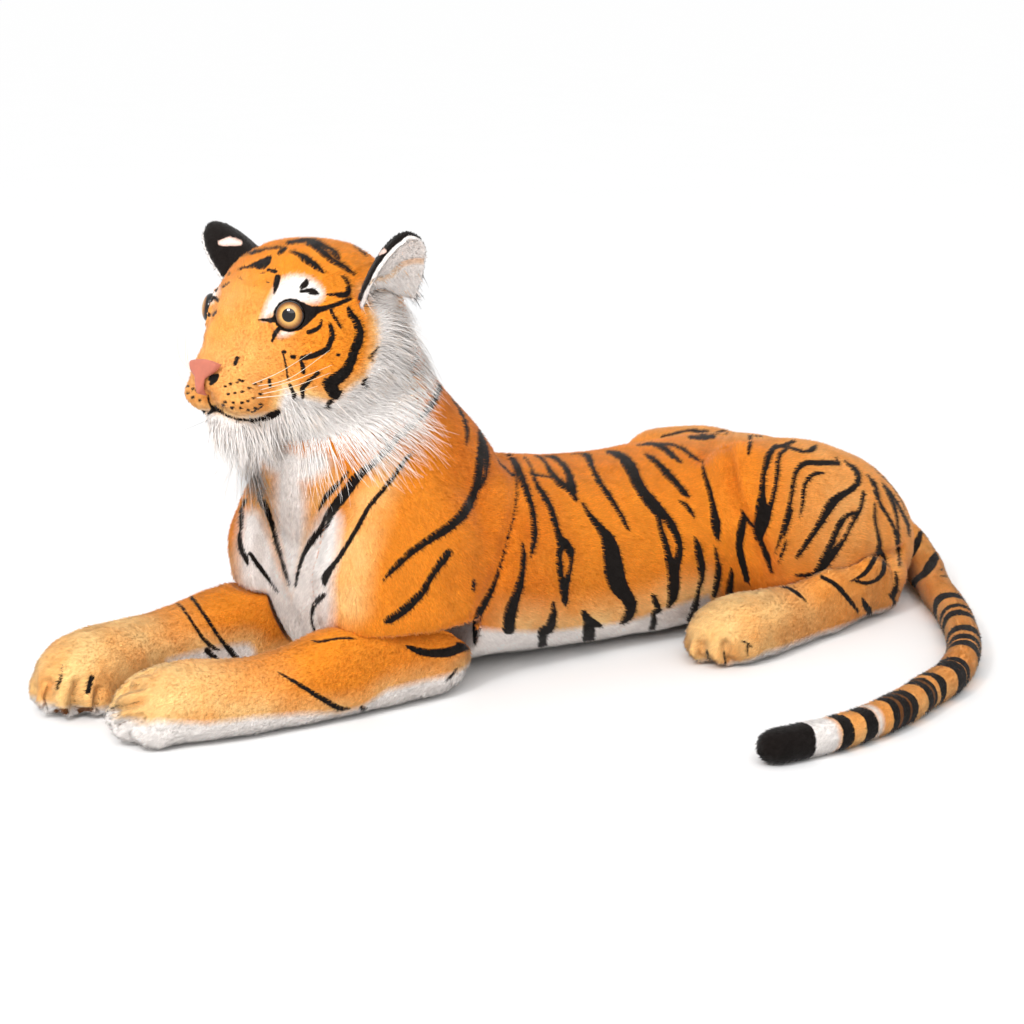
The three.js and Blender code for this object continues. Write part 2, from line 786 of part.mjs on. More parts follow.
function nose() {
  const half = noseWidth / 2;
  const outline = new THREE.Shape();
  outline.moveTo(noseTopShares[0] * half, noseTopShares[1] * noseHeight);
  for (const [bendX, bendY, x, y] of noseOutlineShares) {
    outline.quadraticCurveTo(bendX * half, bendY * noseHeight, x * half, y * noseHeight);
  }
  const edge = { bevelThickness: noseEdge, bevelSize: noseEdge, bevelOffset: -noseEdge, bevelSegments: 2 };
  const geometry = new THREE.ExtrudeGeometry(outline, { depth: noseDepth, curveSegments: 4, ...edge });
  geometry.translate(0, 0, -noseDepth - noseEdge);
  geometry.rotateX(Math.PI / 2 - lean);
  const at = onHead(0, noseAhead, -noseDrop);
  return toSolid(geometry.translate(at.x, at.y, at.z));
}

// Where a line into the head first meets a skin
function firstMeeting(solid, onLine, heading) {
  const bothSides = new THREE.MeshStandardMaterial({ side: THREE.DoubleSide });
  const skin = new THREE.Mesh(toGeometry(solid), bothSides);
  const far = onLine.clone().addScaledVector(heading, headWidth);
  return new THREE.Raycaster(far, heading.clone().negate()).intersectObject(skin)[0].point;
}

// Eye: a domed disc on a shank, and the washer that is pressed on the shank behind the skin
const eyeFacingShares = [0.64, -0.74, 0.18];

function eyePlace(side) {
  const [out, ahead, rise] = eyeFacingShares;
  const heading = new THREE.Vector3(side * out, ahead, rise).normalize();
  const place = onHead(side * eyeOut, eyeAhead, eyeRise);
  const outer = firstMeeting(skull(0), place, heading);
  const inner = firstMeeting(skull(-plushWall), place, heading);
  const wall = outer.distanceTo(inner) - eyeSink - washerBed;
  return { heading, wall, seat: outer.addScaledVector(heading, -eyeSink) };
}

function alongHeading(geometry, eye) {
  geometry.applyQuaternion(new THREE.Quaternion().setFromUnitVectors(back, eye.heading));
  return toSolid(geometry.translate(eye.seat.x, eye.seat.y, eye.seat.z));
}

function eyeBall(eye) {
  const profile = [
    new THREE.Vector2(0, -shankLength),
    new THREE.Vector2(shankRadius, -shankLength),
    new THREE.Vector2(shankRadius, seam),
    new THREE.Vector2(eyeRadius, seam),
  ];
  const steps = 5;
  const rim = seam + eyeSink;
  for (let k = 0; k < steps; k += 1) {
    const angle = (k / steps) * (Math.PI / 2);
    const high = rim + (eyeDome - eyeSink) * Math.sin(angle);
    profile.push(new THREE.Vector2(eyeRadius * Math.cos(angle), high));
  }
  profile.push(new THREE.Vector2(0, seam + eyeDome));
  return alongHeading(new THREE.LatheGeometry(profile, eyeRing), eye);
}

function washer(eye) {
  const bore = shankRadius + shankClearance;
  const high = -eye.wall - seam;
  const low = high - washerThickness;
  const corners = [[bore, low], [washerRadius, low], [washerRadius, high], [bore, high], [bore, low]];
  const profile = corners.map(([radius, along]) => new THREE.Vector2(radius, along));
  return alongHeading(new THREE.LatheGeometry(profile, eyeRing), eye);
}

function roundHole(eye, from, to, radius) {
  const start = eye.seat.clone().addScaledVector(eye.heading, from);
  const end = eye.seat.clone().addScaledVector(eye.heading, to);
  return rod(start, end, radius, eyeRing);
}

// Ear: a cupped flap of two layers that leans out from the head and opens sideways
const earRiseShares = [0.66, -0.21, 0.716];
const earOpeningShares = [0.738, 0.033, -0.674];
const earLengthShares = [0.1, 0.3, 0.5, 0.68, 0.82, 0.92, 0.98, 1.0];
const earTaperShare = 3.2;        // power of the ear's rounding towards its tip
const earTipShare = 0.16;         // of the width, where the rounding is cut off

function earLayerSolid(side, from, to, grow = 0) {
  const rise = new THREE.Vector3(side * earRiseShares[0], earRiseShares[1], earRiseShares[2]).normalize();
  const opening = new THREE.Vector3(side * earOpeningShares[0], earOpeningShares[1], earOpeningShares[2]);
  opening.addScaledVector(rise, -opening.dot(rise)).normalize();
  const across = new THREE.Vector3().crossVectors(rise, opening);
  const root = onHead(side * earOut, -earBack, earRise);
  const columns = 6;
  const points = [];
  for (const offset of [from, to]) {
    for (const along of earLengthShares) {
      const taper = Math.max(Math.sqrt(1 - along ** earTaperShare), earTipShare);
      const half = (taper * earWidth) / 2 + grow;
      for (let column = 0; column <= columns; column += 1) {
        const u = (column / columns) * 2 - 1;
        const cup = -earCup * (1 - u * u) * taper;
        points.push(root.clone()
          .addScaledVector(rise, along * (earHeight + grow))
          .addScaledVector(across, u * half)
          .addScaledVector(opening, cup + offset));
      }
    }
  }
  return twoSidedSheet(points, columns + 1, earLengthShares.length);
}

// Closes two grids of points, one behind the other, into one solid
function twoSidedSheet(points, wide, high) {
  const layer = wide * high;
  const index = [];
  const quad = (a, b, c, d) => index.push(a, b, c, a, c, d);
  for (let row = 0; row < high - 1; row += 1) {
    for (let column = 0; column < wide - 1; column += 1) {
      const a = row * wide + column;
      quad(a, a + wide, a + wide + 1, a + 1);
      quad(layer + a, layer + a + 1, layer + a + wide + 1, layer + a + wide);
    }
    const edge = row * wide;
    const rim = edge + wide - 1;
    quad(edge, layer + edge, layer + edge + wide, edge + wide);
    quad(rim, rim + wide, layer + rim + wide, layer + rim);
  }
  const top = (high - 1) * wide;
  for (let column = 0; column < wide - 1; column += 1) {
    quad(column, column + 1, layer + column + 1, layer + column);
    quad(top + column, layer + top + column, layer + top + column + 1, top + column + 1);
  }
  return closedSolid(points, index);
}

// Long fur: a cushion of pile down each cheek and one under the throat.
// The route holds shares of the head's half width, half length and half depth.
const cheekFurRouteShares = [
  [0.92, -0.36, 0.4],
  [1.02, -0.46, -0.16],
  [0.95, -0.34, -0.62],
  [0.74, -0.04, -1.0],
  [0.42, 0.3, -1.16],
];
const cheekFurShares = [[0, 0.6, 0.8], [0.4, 1.0, 1.0], [0.75, 1.0, 1.0], [1, 0.8, 0.8]];

function cheekFur(side) {
  const path = new THREE.CatmullRomCurve3(cheekFurRouteShares.map(([out, ahead, rise]) => onHead(
    (side * out * headWidth) / 2,
    (ahead * headLength) / 2,
    (rise * headDepth) / 2,
  )));
  const rows = cheekFurShares.map(([along, width, thickness]) => [
    along,
    (width * cheekFurWidth) / 2,
    (-thickness * cheekFurThickness) / 2,
    (thickness * cheekFurThickness) / 2,
    0,
  ]);
  const caps = { startCap: cheekFurWidth / 2, endCap: cheekFurWidth / 2 };
  const rise = outwards.clone().multiplyScalar(side);
  return stuffed({ path, rows, rise, ring: smallRing, middle: 4, ...caps });
}

const throatFurShares = [[0, 1.0, 1.0], [0.5, 0.92, 1.0], [1, 0.6, 0.6]];
const throatAheadShare = 0.52;    // of the head's half length
const throatSlopeShare = 0.16;    // backwards, of its own length

function throatFur() {
  const rows = throatFurShares.map(([along, width, thickness]) => [
    along,
    (width * throatFurWidth) / 2,
    (-thickness * throatFurThickness) / 2,
    (thickness * throatFurThickness) / 2,
    0,
  ]);
  const top = onHead(0, (throatAheadShare * headLength) / 2, -headDepth / 2);
  const low = top.clone().addScaledVector(back, throatSlopeShare * throatFurLength);
  low.addScaledVector(up, -throatFurLength);
  const caps = { startCap: throatFurThickness / 2, endCap: throatFurThickness };
  const path = new THREE.LineCurve3(top, low);
  return stuffed({ path, rows, rise: back, ring: smallRing, middle: 3, ...caps });
}

const assembly = new THREE.Group();
const headGroup = new THREE.Group();
headGroup.applyMatrix4(aboutAxis(turnCentre, turnAxis, headTurn));
assembly.add(headGroup);

function addPiece(name, solid, colour, group = assembly, roughness = 0.95) {
  const material = new THREE.MeshStandardMaterial({ color: colour, roughness, metalness: 0 });
  const mesh = new THREE.Mesh(toGeometry(mainBody(solid)), material);
  mesh.name = name;
  group.add(mesh);
}

const forelegs = [foreleg(1), foreleg(-1)];
const hindLegs = [lowerLeg(1), lowerLeg(-1)];
const torso = torsoWithWall(0).intersect(aboveFloor);
const nearTorso = torsoWithWall(-seam);

// Round rooms in the body, in which the elbows and heels turn
function legRooms() {
  let room = null;
  for (const leg of [...forelegs, ...hindLegs]) {
    const low = leg.pivot.clone().addScaledVector(up, -overrun);
    const top = leg.pivot.clone().addScaledVector(up, leg.height + slide);
    const pin = rod(low, top, leg.width / 2 + slide, bodyRing);
    room = room ? room.add(pin) : pin;
  }
  return room;
}

function bibRoom(gap) {
  return block(
    new THREE.Vector3(-bibWidth / 2 - gap, -reach, bibLow - gap),
    new THREE.Vector3(bibWidth / 2 + gap, -chestAhead + bibDepth + gap, bibHigh + gap),
  );
}

// Torso, belly panel, bib, filling and neck
function makeBody(rooms) {
  const shell = torso.subtract(torsoWithWall(plushWall)).subtract(rooms);
  const aboveBelly = spaceOver(bellyPanelHeight + seam);
  const neckSolid = neckGrown(0).subtract(spaceAboveNeck(0));
  addPiece("torso_back", shell.intersect(aboveBelly).subtract(bibRoom(seam)), colours.orange);
  addPiece("belly_panel", shell.subtract(spaceOver(bellyPanelHeight)), colours.white);
  const filling = torsoWithWall(plushWall + seam).subtract(rooms).subtract(bibRoom(seam));
  addPiece("torso_filling", filling, colours.fibre);
  const bib = torso.add(neckSolid).intersect(bibRoom(0)).intersect(aboveBelly);
  addPiece("chest_bib", bib.subtract(rooms), colours.white);
  addPiece("neck", neckSolid.subtract(nearTorso).subtract(bibRoom(seam)), colours.orange);
}

function sideName(side) {
  return side > 0 ? "left" : "right";
}

function makeForelegs() {
  for (const leg of forelegs) {
    const name = sideName(leg.side);
    const outwardTurns = [-leg.side * forelegSpread, (-leg.side * forelegSpread) / 2];
    const armRoom = swept(upperArm(leg, slide), leg.pivot, up, outwardTurns);
    const lying = stuffed(leg).add(toes(leg, 4)).intersect(aboveFloor);
    const whole = lying.subtract(nearTorso).subtract(armRoom);
    const wrist = 1 - pawShare;
    addPiece(`forearm_${name}`, whole.subtract(spaceBeyond(leg.path, wrist, -seam / 2)), colours.orange);
    addPiece(`forepaw_${name}`, whole.intersect(spaceBeyond(leg.path, wrist, seam / 2)), colours.orange);
    const arm = upperArm(leg, 0).subtract(nearTorso).subtract(neckGrown(seam)).subtract(bibRoom(seam));
    addPiece(`upper_arm_${name}`, arm, colours.orange);
  }
}

function makeHindLegs(rooms) {
  const nearTail = tailRoom();
  for (const leg of hindLegs) {
    const name = sideName(leg.side);
    const haunch = thigh(leg.side, 0).intersect(aboveFloor).subtract(nearTorso).subtract(rooms);
    addPiece(`thigh_${name}`, haunch.subtract(nearTail), colours.orange);
    const whole = stuffed(leg).add(toes(leg, 3)).intersect(aboveFloor);
    const clear = whole.subtract(thigh(leg.side, seam)).subtract(nearTorso);
    const ankle = 1 - hindPawShare;
    const shank = clear.subtract(spaceBeyond(leg.path, ankle, -seam / 2));
    addPiece(`lower_leg_${name}`, shank, colours.orange);
    const paw = clear.intersect(spaceBeyond(leg.path, ankle, seam / 2));
    addPiece(`hind_paw_${name}`, paw, colours.orange);
  }
}

// The tail's pieces, with a round knuckle in a cup where it bends
function makeTail() {
  const lift = Math.sin(THREE.MathUtils.degToRad(tailTurn));
  tailPieces.forEach((part, k) => {
    const from = k === 0 ? 0 : tailPieces[k - 1].endShare;
    const next = tailPieces[k + 1];
    const cupped = next && next.turns;
    const radius = tailRadiusAt(part.endShare);
    const setBack = cupped ? radius * lift + slide : seam / 2;
    let piece = tailLength(from, part.endShare, part.steps, seam / 2, setBack);
    if (k === 0) piece = piece.subtract(nearTorso).subtract(thigh(1, seam)).subtract(thigh(-1, seam));
    const pivot = tailRoute.getPointAt(part.endShare);
    if (part.turns) piece = piece.add(ball(tailRoute.getPointAt(from), tailRadiusAt(from)));
    if (cupped) piece = piece.subtract(ball(pivot, radius + cupGap));
    addPiece(part.name, piece.intersect(aboveFloor), next ? colours.orange : colours.black);
  });
}

function makeEyes(skin, filling) {
  const carved = { skin, filling, discs: [] };
  for (const side of [1, -1]) {
    const name = sideName(side);
    const eye = eyePlace(side);
    const disc = roundHole(eye, 0, eyeRadius, eyeRadius + seam);
    const hole = roundHole(eye, -shankLength - slide, eyeRadius, shankRadius + shankClearance);
    const bed = roundHole(eye, -eye.wall - washerThickness - 2 * seam, -eye.wall, washerRadius + seam);
    addPiece(`eye_${name}`, eyeBall(eye), colours.amber, headGroup, 0.15);
    addPiece(`eye_washer_${name}`, washer(eye), colours.washer, headGroup, 0.5);
    carved.skin = carved.skin.subtract(disc).subtract(hole).subtract(bed);
    carved.filling = carved.filling.subtract(hole).subtract(bed).subtract(disc);
    carved.discs.push(disc);
  }
  return carved;
}

function makeEars(nearSkull) {
  for (const side of [1, -1]) {
    const name = sideName(side);
    const backing = earLayerSolid(side, -earLayer - seam, -seam).subtract(nearSkull);
    addPiece(`ear_back_${name}`, backing, colours.black, headGroup);
    const lining = earLayerSolid(side, 0, earLayer).subtract(nearSkull);
    addPiece(`ear_lining_${name}`, lining, colours.white, headGroup);
  }
}

function makeLongFur(covered) {
  const swings = [-headSwing, headSwing];
  const clearOf = covered.add(swept(neckGrown(slide), turnCentre, turnAxis, swings));
  let throat = throatFur().subtract(clearOf);
  for (const side of [1, -1]) {
    const ear = earLayerSolid(side, -earLayer - 2 * seam, earLayer + seam, seam);
    const ruff = cheekFur(side).subtract(clearOf).subtract(ear);
    addPiece(`cheek_fur_${sideName(side)}`, ruff, colours.white, headGroup);
    throat = throat.subtract(cheekFur(side));
  }
  addPiece("throat_fur", throat, colours.white, headGroup);
}

function makeHead() {
  const aboveNeck = spaceAboveNeck(seam);
  const nearSkull = skull(seam);
  const shell = skull(0).intersect(aboveNeck).subtract(skull(-plushWall));
  const carved = makeEyes(shell, skull(-plushWall - seam).intersect(aboveNeck));
  addPiece("head_skin", carved.skin, colours.orange, headGroup);
  addPiece("head_filling", carved.filling, colours.fibre, headGroup);
  const snout = muzzle(0).subtract(nearSkull).subtract(carved.discs[0]).subtract(carved.discs[1]);
  addPiece("muzzle", snout, colours.orange, headGroup);
  addPiece("nose", nose().subtract(muzzle(seam)), colours.pink, headGroup);
  addPiece("chin", chin(0).subtract(muzzle(seam)).subtract(nearSkull), colours.white, headGroup);
  makeEars(nearSkull);
  makeLongFur(muzzle(seam).add(nearSkull).add(chin(seam)));
}

const rooms = legRooms();
makeBody(rooms);
makeForelegs();
makeHindLegs(rooms);
makeTail();
makeHead();

export default assembly;
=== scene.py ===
"""A large plush tiger lying on its belly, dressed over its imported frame. Metres, +Z up."""

import json
import math

import bmesh
import bpy
import numpy as np
from bpy.props import FloatProperty, FloatVectorProperty, IntProperty, PointerProperty
from mathutils import Matrix, Vector
from mathutils.bvhtree import BVHTree

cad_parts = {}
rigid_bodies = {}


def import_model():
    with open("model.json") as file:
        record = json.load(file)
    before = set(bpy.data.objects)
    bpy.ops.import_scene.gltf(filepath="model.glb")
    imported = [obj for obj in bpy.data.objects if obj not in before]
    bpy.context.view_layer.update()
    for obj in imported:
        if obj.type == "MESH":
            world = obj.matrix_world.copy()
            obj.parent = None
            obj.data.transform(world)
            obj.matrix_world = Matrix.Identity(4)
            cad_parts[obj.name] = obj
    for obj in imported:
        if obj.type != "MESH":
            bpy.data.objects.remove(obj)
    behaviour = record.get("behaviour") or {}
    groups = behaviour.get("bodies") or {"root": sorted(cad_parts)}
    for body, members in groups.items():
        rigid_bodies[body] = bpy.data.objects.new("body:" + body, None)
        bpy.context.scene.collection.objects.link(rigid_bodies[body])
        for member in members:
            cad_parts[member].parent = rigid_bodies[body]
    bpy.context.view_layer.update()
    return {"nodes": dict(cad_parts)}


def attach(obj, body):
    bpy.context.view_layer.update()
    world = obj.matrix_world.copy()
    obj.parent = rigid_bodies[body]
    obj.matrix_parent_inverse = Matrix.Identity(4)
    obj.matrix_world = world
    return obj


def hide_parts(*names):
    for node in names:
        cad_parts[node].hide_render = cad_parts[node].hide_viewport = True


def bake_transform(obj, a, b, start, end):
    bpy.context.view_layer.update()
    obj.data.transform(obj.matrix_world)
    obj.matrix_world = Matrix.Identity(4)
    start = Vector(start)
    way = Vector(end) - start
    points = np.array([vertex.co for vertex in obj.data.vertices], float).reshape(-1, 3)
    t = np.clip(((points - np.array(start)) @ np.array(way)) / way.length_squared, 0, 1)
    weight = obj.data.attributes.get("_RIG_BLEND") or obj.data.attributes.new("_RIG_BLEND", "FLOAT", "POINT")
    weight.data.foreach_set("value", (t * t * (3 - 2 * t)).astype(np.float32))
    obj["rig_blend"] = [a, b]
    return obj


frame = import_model()

bl_info = {
    "name": "Plush tiger",
    "version": (1, 0, 0),
    "blender": (4, 5, 0),
    "location": "View3D > Sidebar > Plush tiger",
    "description": "A lying plush tiger with striped pile, a long ruff and domed eyes",
    "category": "Mesh",
}

# The photograph's camera, in degrees, metres and pixels of a square picture
PHOTO_SIDE = 1024
CAMERA_AZIMUTH = 56
CAMERA_ELEVATION = 14
CAMERA_DISTANCE = 2.5
CAMERA_FOCUS = 2173.9
CAMERA_TARGET = Vector((-0.012, -0.005, 0.150))
SENSOR = 36.0
PIXEL = CAMERA_DISTANCE / CAMERA_FOCUS

# The head's turning axis, and how far the neck's cloth twists below and above its plane
TURN_CENTRE = Vector((0, -0.230, 0.297))
TURN_AXIS = Vector((0, -0.28736, 0.95782))
HEAD_TURN = math.radians(10)
TWIST_BELOW = 0.060
TWIST_ABOVE = 0.012

# Where the tail's two joints are, which way it runs there, and how far its cloth bends past them
TAIL_ROOT = Vector((0.070, 0.559, 0.030))
TAIL_ROOT_HEADING = Vector((0.998, 0.060, 0))
TAIL_BEND = Vector((0.3943, 0.3120, 0.0196))
TAIL_BEND_HEADING = Vector((0.62, -0.785, 0))
TAIL_TWIST = 0.030

UP = Vector((0, 0, 1))
BACKWARDS = Vector((0, 1, 0))

# The skull's middle on the head facing straight ahead: how far ahead of the origin and how high
SKULL_AHEAD = 0.285
SKULL_RISE = 0.385

# The eye's dome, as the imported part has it, and the dark lid that the cloth makes round it
EYE_RADIUS = 0.015
EYE_DOME = 0.008
EYE_RIM = 0.0033
EYE_FOOT = 0.0003
EYE_FACING = Vector((0.64, -0.74, 0.18)).normalized()
LID_RADIUS = 0.0176

# Where the elbow and the heel turn, out and back, and how far the cloth bends past them
LEG_PIVOTS = {"foreleg": (0.098, -0.188), "hind_leg": (0.145, 0.412)}
LEG_BEND_FROM = 0.005
LEG_BEND_TO = 0.060

# Beyond this many pixels from a mark nothing is printed, and the same in metres on the toy
FAR = 26.0
UNMARKED = FAR * PIXEL
# A point this near to a cut through the skin is on the cut's rim
RIM_NEAR = 0.0002
# How far ink spreads past the traced edge of a stripe
INK_SPREAD = 0.0004
# The lowest that cloth and pile lie over the floor
FLOOR_GAP = 0.0004

# Marks traced in the photograph: x and y in its pixels, then the half width there. A place without a half
# width belongs to an outline. First the marks and seams of the body, with the back of the neck
# The shoulder's and the thigh's seams are pressed in, with painted shade along their creases
SHOULDER_SEAM = [(498, 447, 1), (507, 457, 1), (513, 470, 1), (516, 490, 1), (514, 512, 1), (508, 535, 1),
                 (502, 558, 1.2), (497, 575, 1.6), (491, 590, 2.6), (484, 603, 3.5), (478, 615, 3.5),
                 (476, 628, 3), (475, 642, 1.5)]
THIGH_SEAM = [(702, 460, 1), (708, 450, 1), (722, 438, 1), (724, 440, 1), (728, 455, 1), (731, 470, 1),
              (735, 490, 1), (741, 507, 1), (750, 525, 1), (760, 540, 1), (768, 560, 1), (773, 573, 1)]
FLANK_STRIPES = [
    SHOULDER_SEAM,
    [(505, 452, 2.5), (515, 465, 3), (521, 478, 3), (526, 492, 3), (531, 507, 2.8), (533, 520, 2.8),
     (534, 535, 3), (532, 548, 2), (530, 559, 0.6)],
    [(522, 543, 1), (523, 555, 2.5), (522, 570, 2.5), (519, 585, 4), (514, 600, 5), (510, 612, 6), (508, 628, 6)],
    [(523, 458, 0.8), (530, 468, 1), (535, 483, 2), (541, 493, 3), (548, 504, 3), (553, 518, 3), (557, 532, 3),
     (561, 545, 4), (559, 552, 3), (559, 565, 3), (561, 580, 3), (564, 595, 4), (565, 606, 1)],
    [(564, 542, 4), (569, 550, 4), (571, 560, 2), (569, 572, 2), (566, 585, 3), (565, 600, 2)],
    [(530, 454, 0.8), (542, 461, 1.2), (549, 471, 2.5), (555, 479, 3), (561, 485, 3.5), (568, 489, 3),
     (573, 496, 2.5), (576, 501, 1)],
    [(542, 456, 1.5), (552, 458, 2), (561, 465, 2.5), (567, 473, 3), (570, 482, 3.5), (573, 492, 3)],
    [(582, 503, 1), (587, 512, 2), (593, 520, 3), (600, 529, 4), (606, 537, 6), (610, 548, 8), (612, 560, 9),
     (614, 572, 10), (618, 585, 9), (625, 595, 7), (630, 604, 6), (629, 613, 5), (624, 620, 3), (620, 623, 1)],
    [(570, 455, 0.8), (580, 454, 1.5), (587, 458, 3), (591, 467, 2.5), (596, 478, 2.5), (602, 487, 2.5),
     (609, 497, 2.5), (616, 508, 2), (622, 518, 2), (626, 526, 1.5), (629, 531, 0.6)],
    [(605, 453, 1), (615, 455, 3), (624, 461, 5), (631, 470, 6), (635, 480, 5.5), (642, 492, 5.5), (650, 502, 6),
     (657, 510, 6), (664, 516, 4), (671, 525, 4), (676, 535, 3.5), (679, 547, 3.5), (678, 558, 3.5), (675, 570, 4),
     (673, 585, 6), (672, 597, 4.5), (668, 606, 2)],
    [(658, 516, 2.5), (660, 528, 2.5), (664, 540, 3), (667, 552, 3.5), (670, 565, 4.5), (673, 580, 6)],
    [(644, 455, 0.8), (652, 460, 2.5), (660, 467, 3), (668, 476, 4), (676, 484, 3), (683, 492, 3), (688, 497, 1.5)],
    [(636, 446, 1), (650, 445, 1.5), (660, 448, 2.5), (668, 453, 3), (675, 459, 2), (681, 463, 0.8)],
    [(660, 445, 0.8), (672, 446, 1.2), (682, 450, 1.8), (690, 456, 1.8), (697, 460, 1.5)],
    [(679, 501, 1), (685, 505, 2), (690, 511, 2), (694, 518, 0.6)],
    [(694, 537, 1), (697, 545, 3), (699, 556, 4), (701, 567, 4), (701, 578, 2.5), (698, 590, 2), (696, 600, 2.5),
     (693, 612, 4), (690, 620, 4), (687, 628, 2)],
    [(702, 462, 1), (704, 475, 2), (709, 490, 2.5), (712, 503, 2.5), (714, 515, 4), (716, 527, 4.5), (717, 540, 1.5)],
    [(714, 546, 0.8), (717, 560, 2), (718, 572, 3), (716, 585, 3), (714, 595, 2)],
    [(731, 567, 0.6), (731, 576, 2.5), (729, 588, 3.5), (728, 595, 3)],
    [(553, 602, 1), (553, 612, 3), (551, 622, 4.5), (548, 628, 5), (542, 632, 4.5), (541, 645, 4), (534, 657, 2)],
    [(583, 612, 2.5), (587, 619, 4), (596, 624, 3), (601, 626, 1)],
    [(588, 622, 5), (588, 630, 6), (587, 640, 5.5), (584, 650, 3), (582, 655, 1)],
    [(652, 594, 1), (655, 602, 3), (658, 610, 2.5), (653, 612, 2), (653, 622, 3), (649, 632, 2.5), (643, 641, 1.5)],
    [(661, 438, 1), (675, 434, 1), (690, 431, 1.2), (700, 434, 3), (706, 432, 1.5)],
    [(688, 438, 1.5), (700, 439, 2), (712, 437, 2)],
    [(714, 434, 1), (722, 432, 1.5), (726, 434, 1)],
    [(672, 427, 1), (680, 427, 1)],
]
HAUNCH_STRIPES = [
    [(749, 436, 1.5), (749, 445, 1.8), (748, 455, 1)],
    [(744, 433, 1.5), (752, 434, 2.5), (761, 437, 1.2)],
    [(774, 447, 2), (768, 455, 3), (766, 463, 3), (763, 475, 2.5), (762, 490, 3), (761, 505, 5), (760, 520, 6),
     (758, 532, 5), (757, 541, 1)],
    [(774, 447, 2), (785, 447, 1.5), (795, 450, 1.5), (805, 452, 1.2), (812, 449, 2.5), (815, 446, 1)],
    [(785, 450, 1.5), (779, 455, 2), (777, 465, 2), (776, 480, 1.8), (773, 495, 2), (769, 510, 2.5),
     (765, 525, 3), (760, 540, 1)],
    [(783, 445, 1), (790, 443, 1.5), (794, 442, 1)],
    [(838, 464, 1.5), (830, 463, 2.5), (818, 463, 2.5), (806, 463, 2.5), (798, 468, 2.5), (794, 476, 2),
     (792, 490, 1.8), (789, 505, 2), (785, 520, 1.8), (780, 538, 1.5), (775, 552, 0.6)],
    [(838, 464, 1.5), (835, 457, 0.6)],
    [(792, 510, 1), (788, 522, 1.5), (784, 535, 1)],
    [(786, 540, 1), (783, 550, 1.5), (778, 563, 0.6)],
    [(823, 473, 0.8), (813, 474, 2), (806, 481, 2), (803, 490, 1.8), (802, 503, 1.5), (799, 518, 0.6)],
    [(843, 461, 0.8), (851, 467, 2), (857, 474, 2.5), (856, 484, 3), (848, 491, 3), (838, 497, 4), (830, 505, 5),
     (824, 515, 4), (817, 527, 3), (808, 540, 2.5), (800, 552, 2), (795, 558, 0.8)],
    [(863, 492, 1.5), (860, 508, 2), (852, 522, 2), (844, 538, 2), (836, 550, 3), (830, 558, 3), (822, 567, 4),
     (812, 574, 2.5), (800, 575, 1.5), (795, 575, 0.8)],
    [(857, 512, 1.5), (847, 515, 2), (840, 523, 3), (835, 533, 3), (830, 545, 3), (825, 556, 4), (820, 567, 4)],
    [(874, 503, 0.8), (874, 515, 1.5), (876, 530, 1.5), (879, 543, 2), (877, 553, 2.5), (872, 563, 2.5),
     (866, 572, 2.5), (858, 578, 1.5), (850, 581, 0.6)],
    [(880, 550, 1.5), (884, 560, 2), (883, 572, 2.5), (876, 580, 2), (866, 583, 2), (856, 581, 1.5)],
    [(866, 475, 0.8), (873, 484, 2), (876, 493, 2), (879, 503, 1.5), (886, 514, 1.5), (892, 525, 1.5),
     (896, 538, 1.5), (897, 550, 1.5), (899, 566, 0.8)],
    [(882, 484, 1), (888, 494, 2), (893, 505, 2), (896, 517, 1.5), (897, 525, 1.2), (898, 540, 1.2), (898, 560, 1.2)],
    [(885, 487, 0.8), (893, 497, 1), (901, 512, 1.2), (907, 525, 1.5), (908, 535, 1)],
    [(895, 572, 1), (896, 582, 2), (893, 595, 3), (888, 593, 0.8)],
    [(893, 598, 1.5), (895, 604, 2), (893, 608, 1)],
    [(743, 517, 3), (741, 530, 4), (739, 545, 3.5), (741, 557, 3.5), (744, 568, 3), (747, 580, 2.5)],
    [(741, 510, 1), (748, 520, 1.5), (756, 533, 1.5), (762, 545, 2.5), (767, 558, 3), (771, 572, 1)],
]
CHEST_STRIPES = [
    [(439, 372, 2), (438, 383, 3), (435, 395, 3), (430, 405, 3), (422, 415, 3), (413, 422, 3), (405, 430, 3),
     (397, 437, 3), (389, 447, 3), (384, 452, 3), (378, 458, 3), (370, 465, 3.5), (364, 470, 3.5), (356, 478, 4.5),
     (350, 486, 5), (346, 492, 5), (340, 500, 5), (334, 508, 5), (328, 518, 4.5), (324, 526, 4), (318, 532, 3),
     (312, 540, 3), (306, 550, 2), (302, 560, 1.5), (299, 570, 1.5), (297, 580, 1), (296, 586, 0.8)],
    [(348, 471, 1), (342, 479, 1.5), (334, 488, 2.5), (328, 494, 2.5), (322, 503, 1.5), (318, 510, 0.6)],
    [(413, 452, 0.8), (406, 458, 1.5), (399, 468, 2), (392, 478, 2), (384, 488, 2), (376, 498, 2), (368, 508, 2),
     (362, 519, 2), (356, 530, 2), (350, 540, 2), (344, 550, 2), (338, 559, 2), (332, 567, 2.5), (327, 574, 3.5),
     (325, 580, 3), (325, 585, 1)],
    [(478, 430, 1.5), (480, 440, 3), (480, 452, 4), (479, 464, 4), (477, 478, 4), (474, 490, 4), (469, 502, 4.5),
     (462, 514, 5), (454, 522, 4.5), (444, 530, 4.5), (434, 536, 4), (422, 544, 3.5), (412, 551, 3.5),
     (402, 560, 3), (392, 570, 2.5), (383, 580, 0.8)],
    [(449, 551, 2.5), (444, 558, 4), (438, 566, 3.5), (432, 574, 3), (428, 582, 3), (422, 592, 3.5), (414, 600, 4),
     (406, 608, 4.5), (398, 614, 4), (390, 619, 4), (384, 621, 1.5)],
    [(473, 580, 1.5), (473, 590, 1.5)],
    [(443, 377, 1), (451, 380, 2)],
    [(380, 411, 1), (387, 417, 1.5), (393, 424, 1)],
    [(368, 422, 1), (380, 433, 1.5), (387, 443, 1.5), (388, 448, 1)],
]
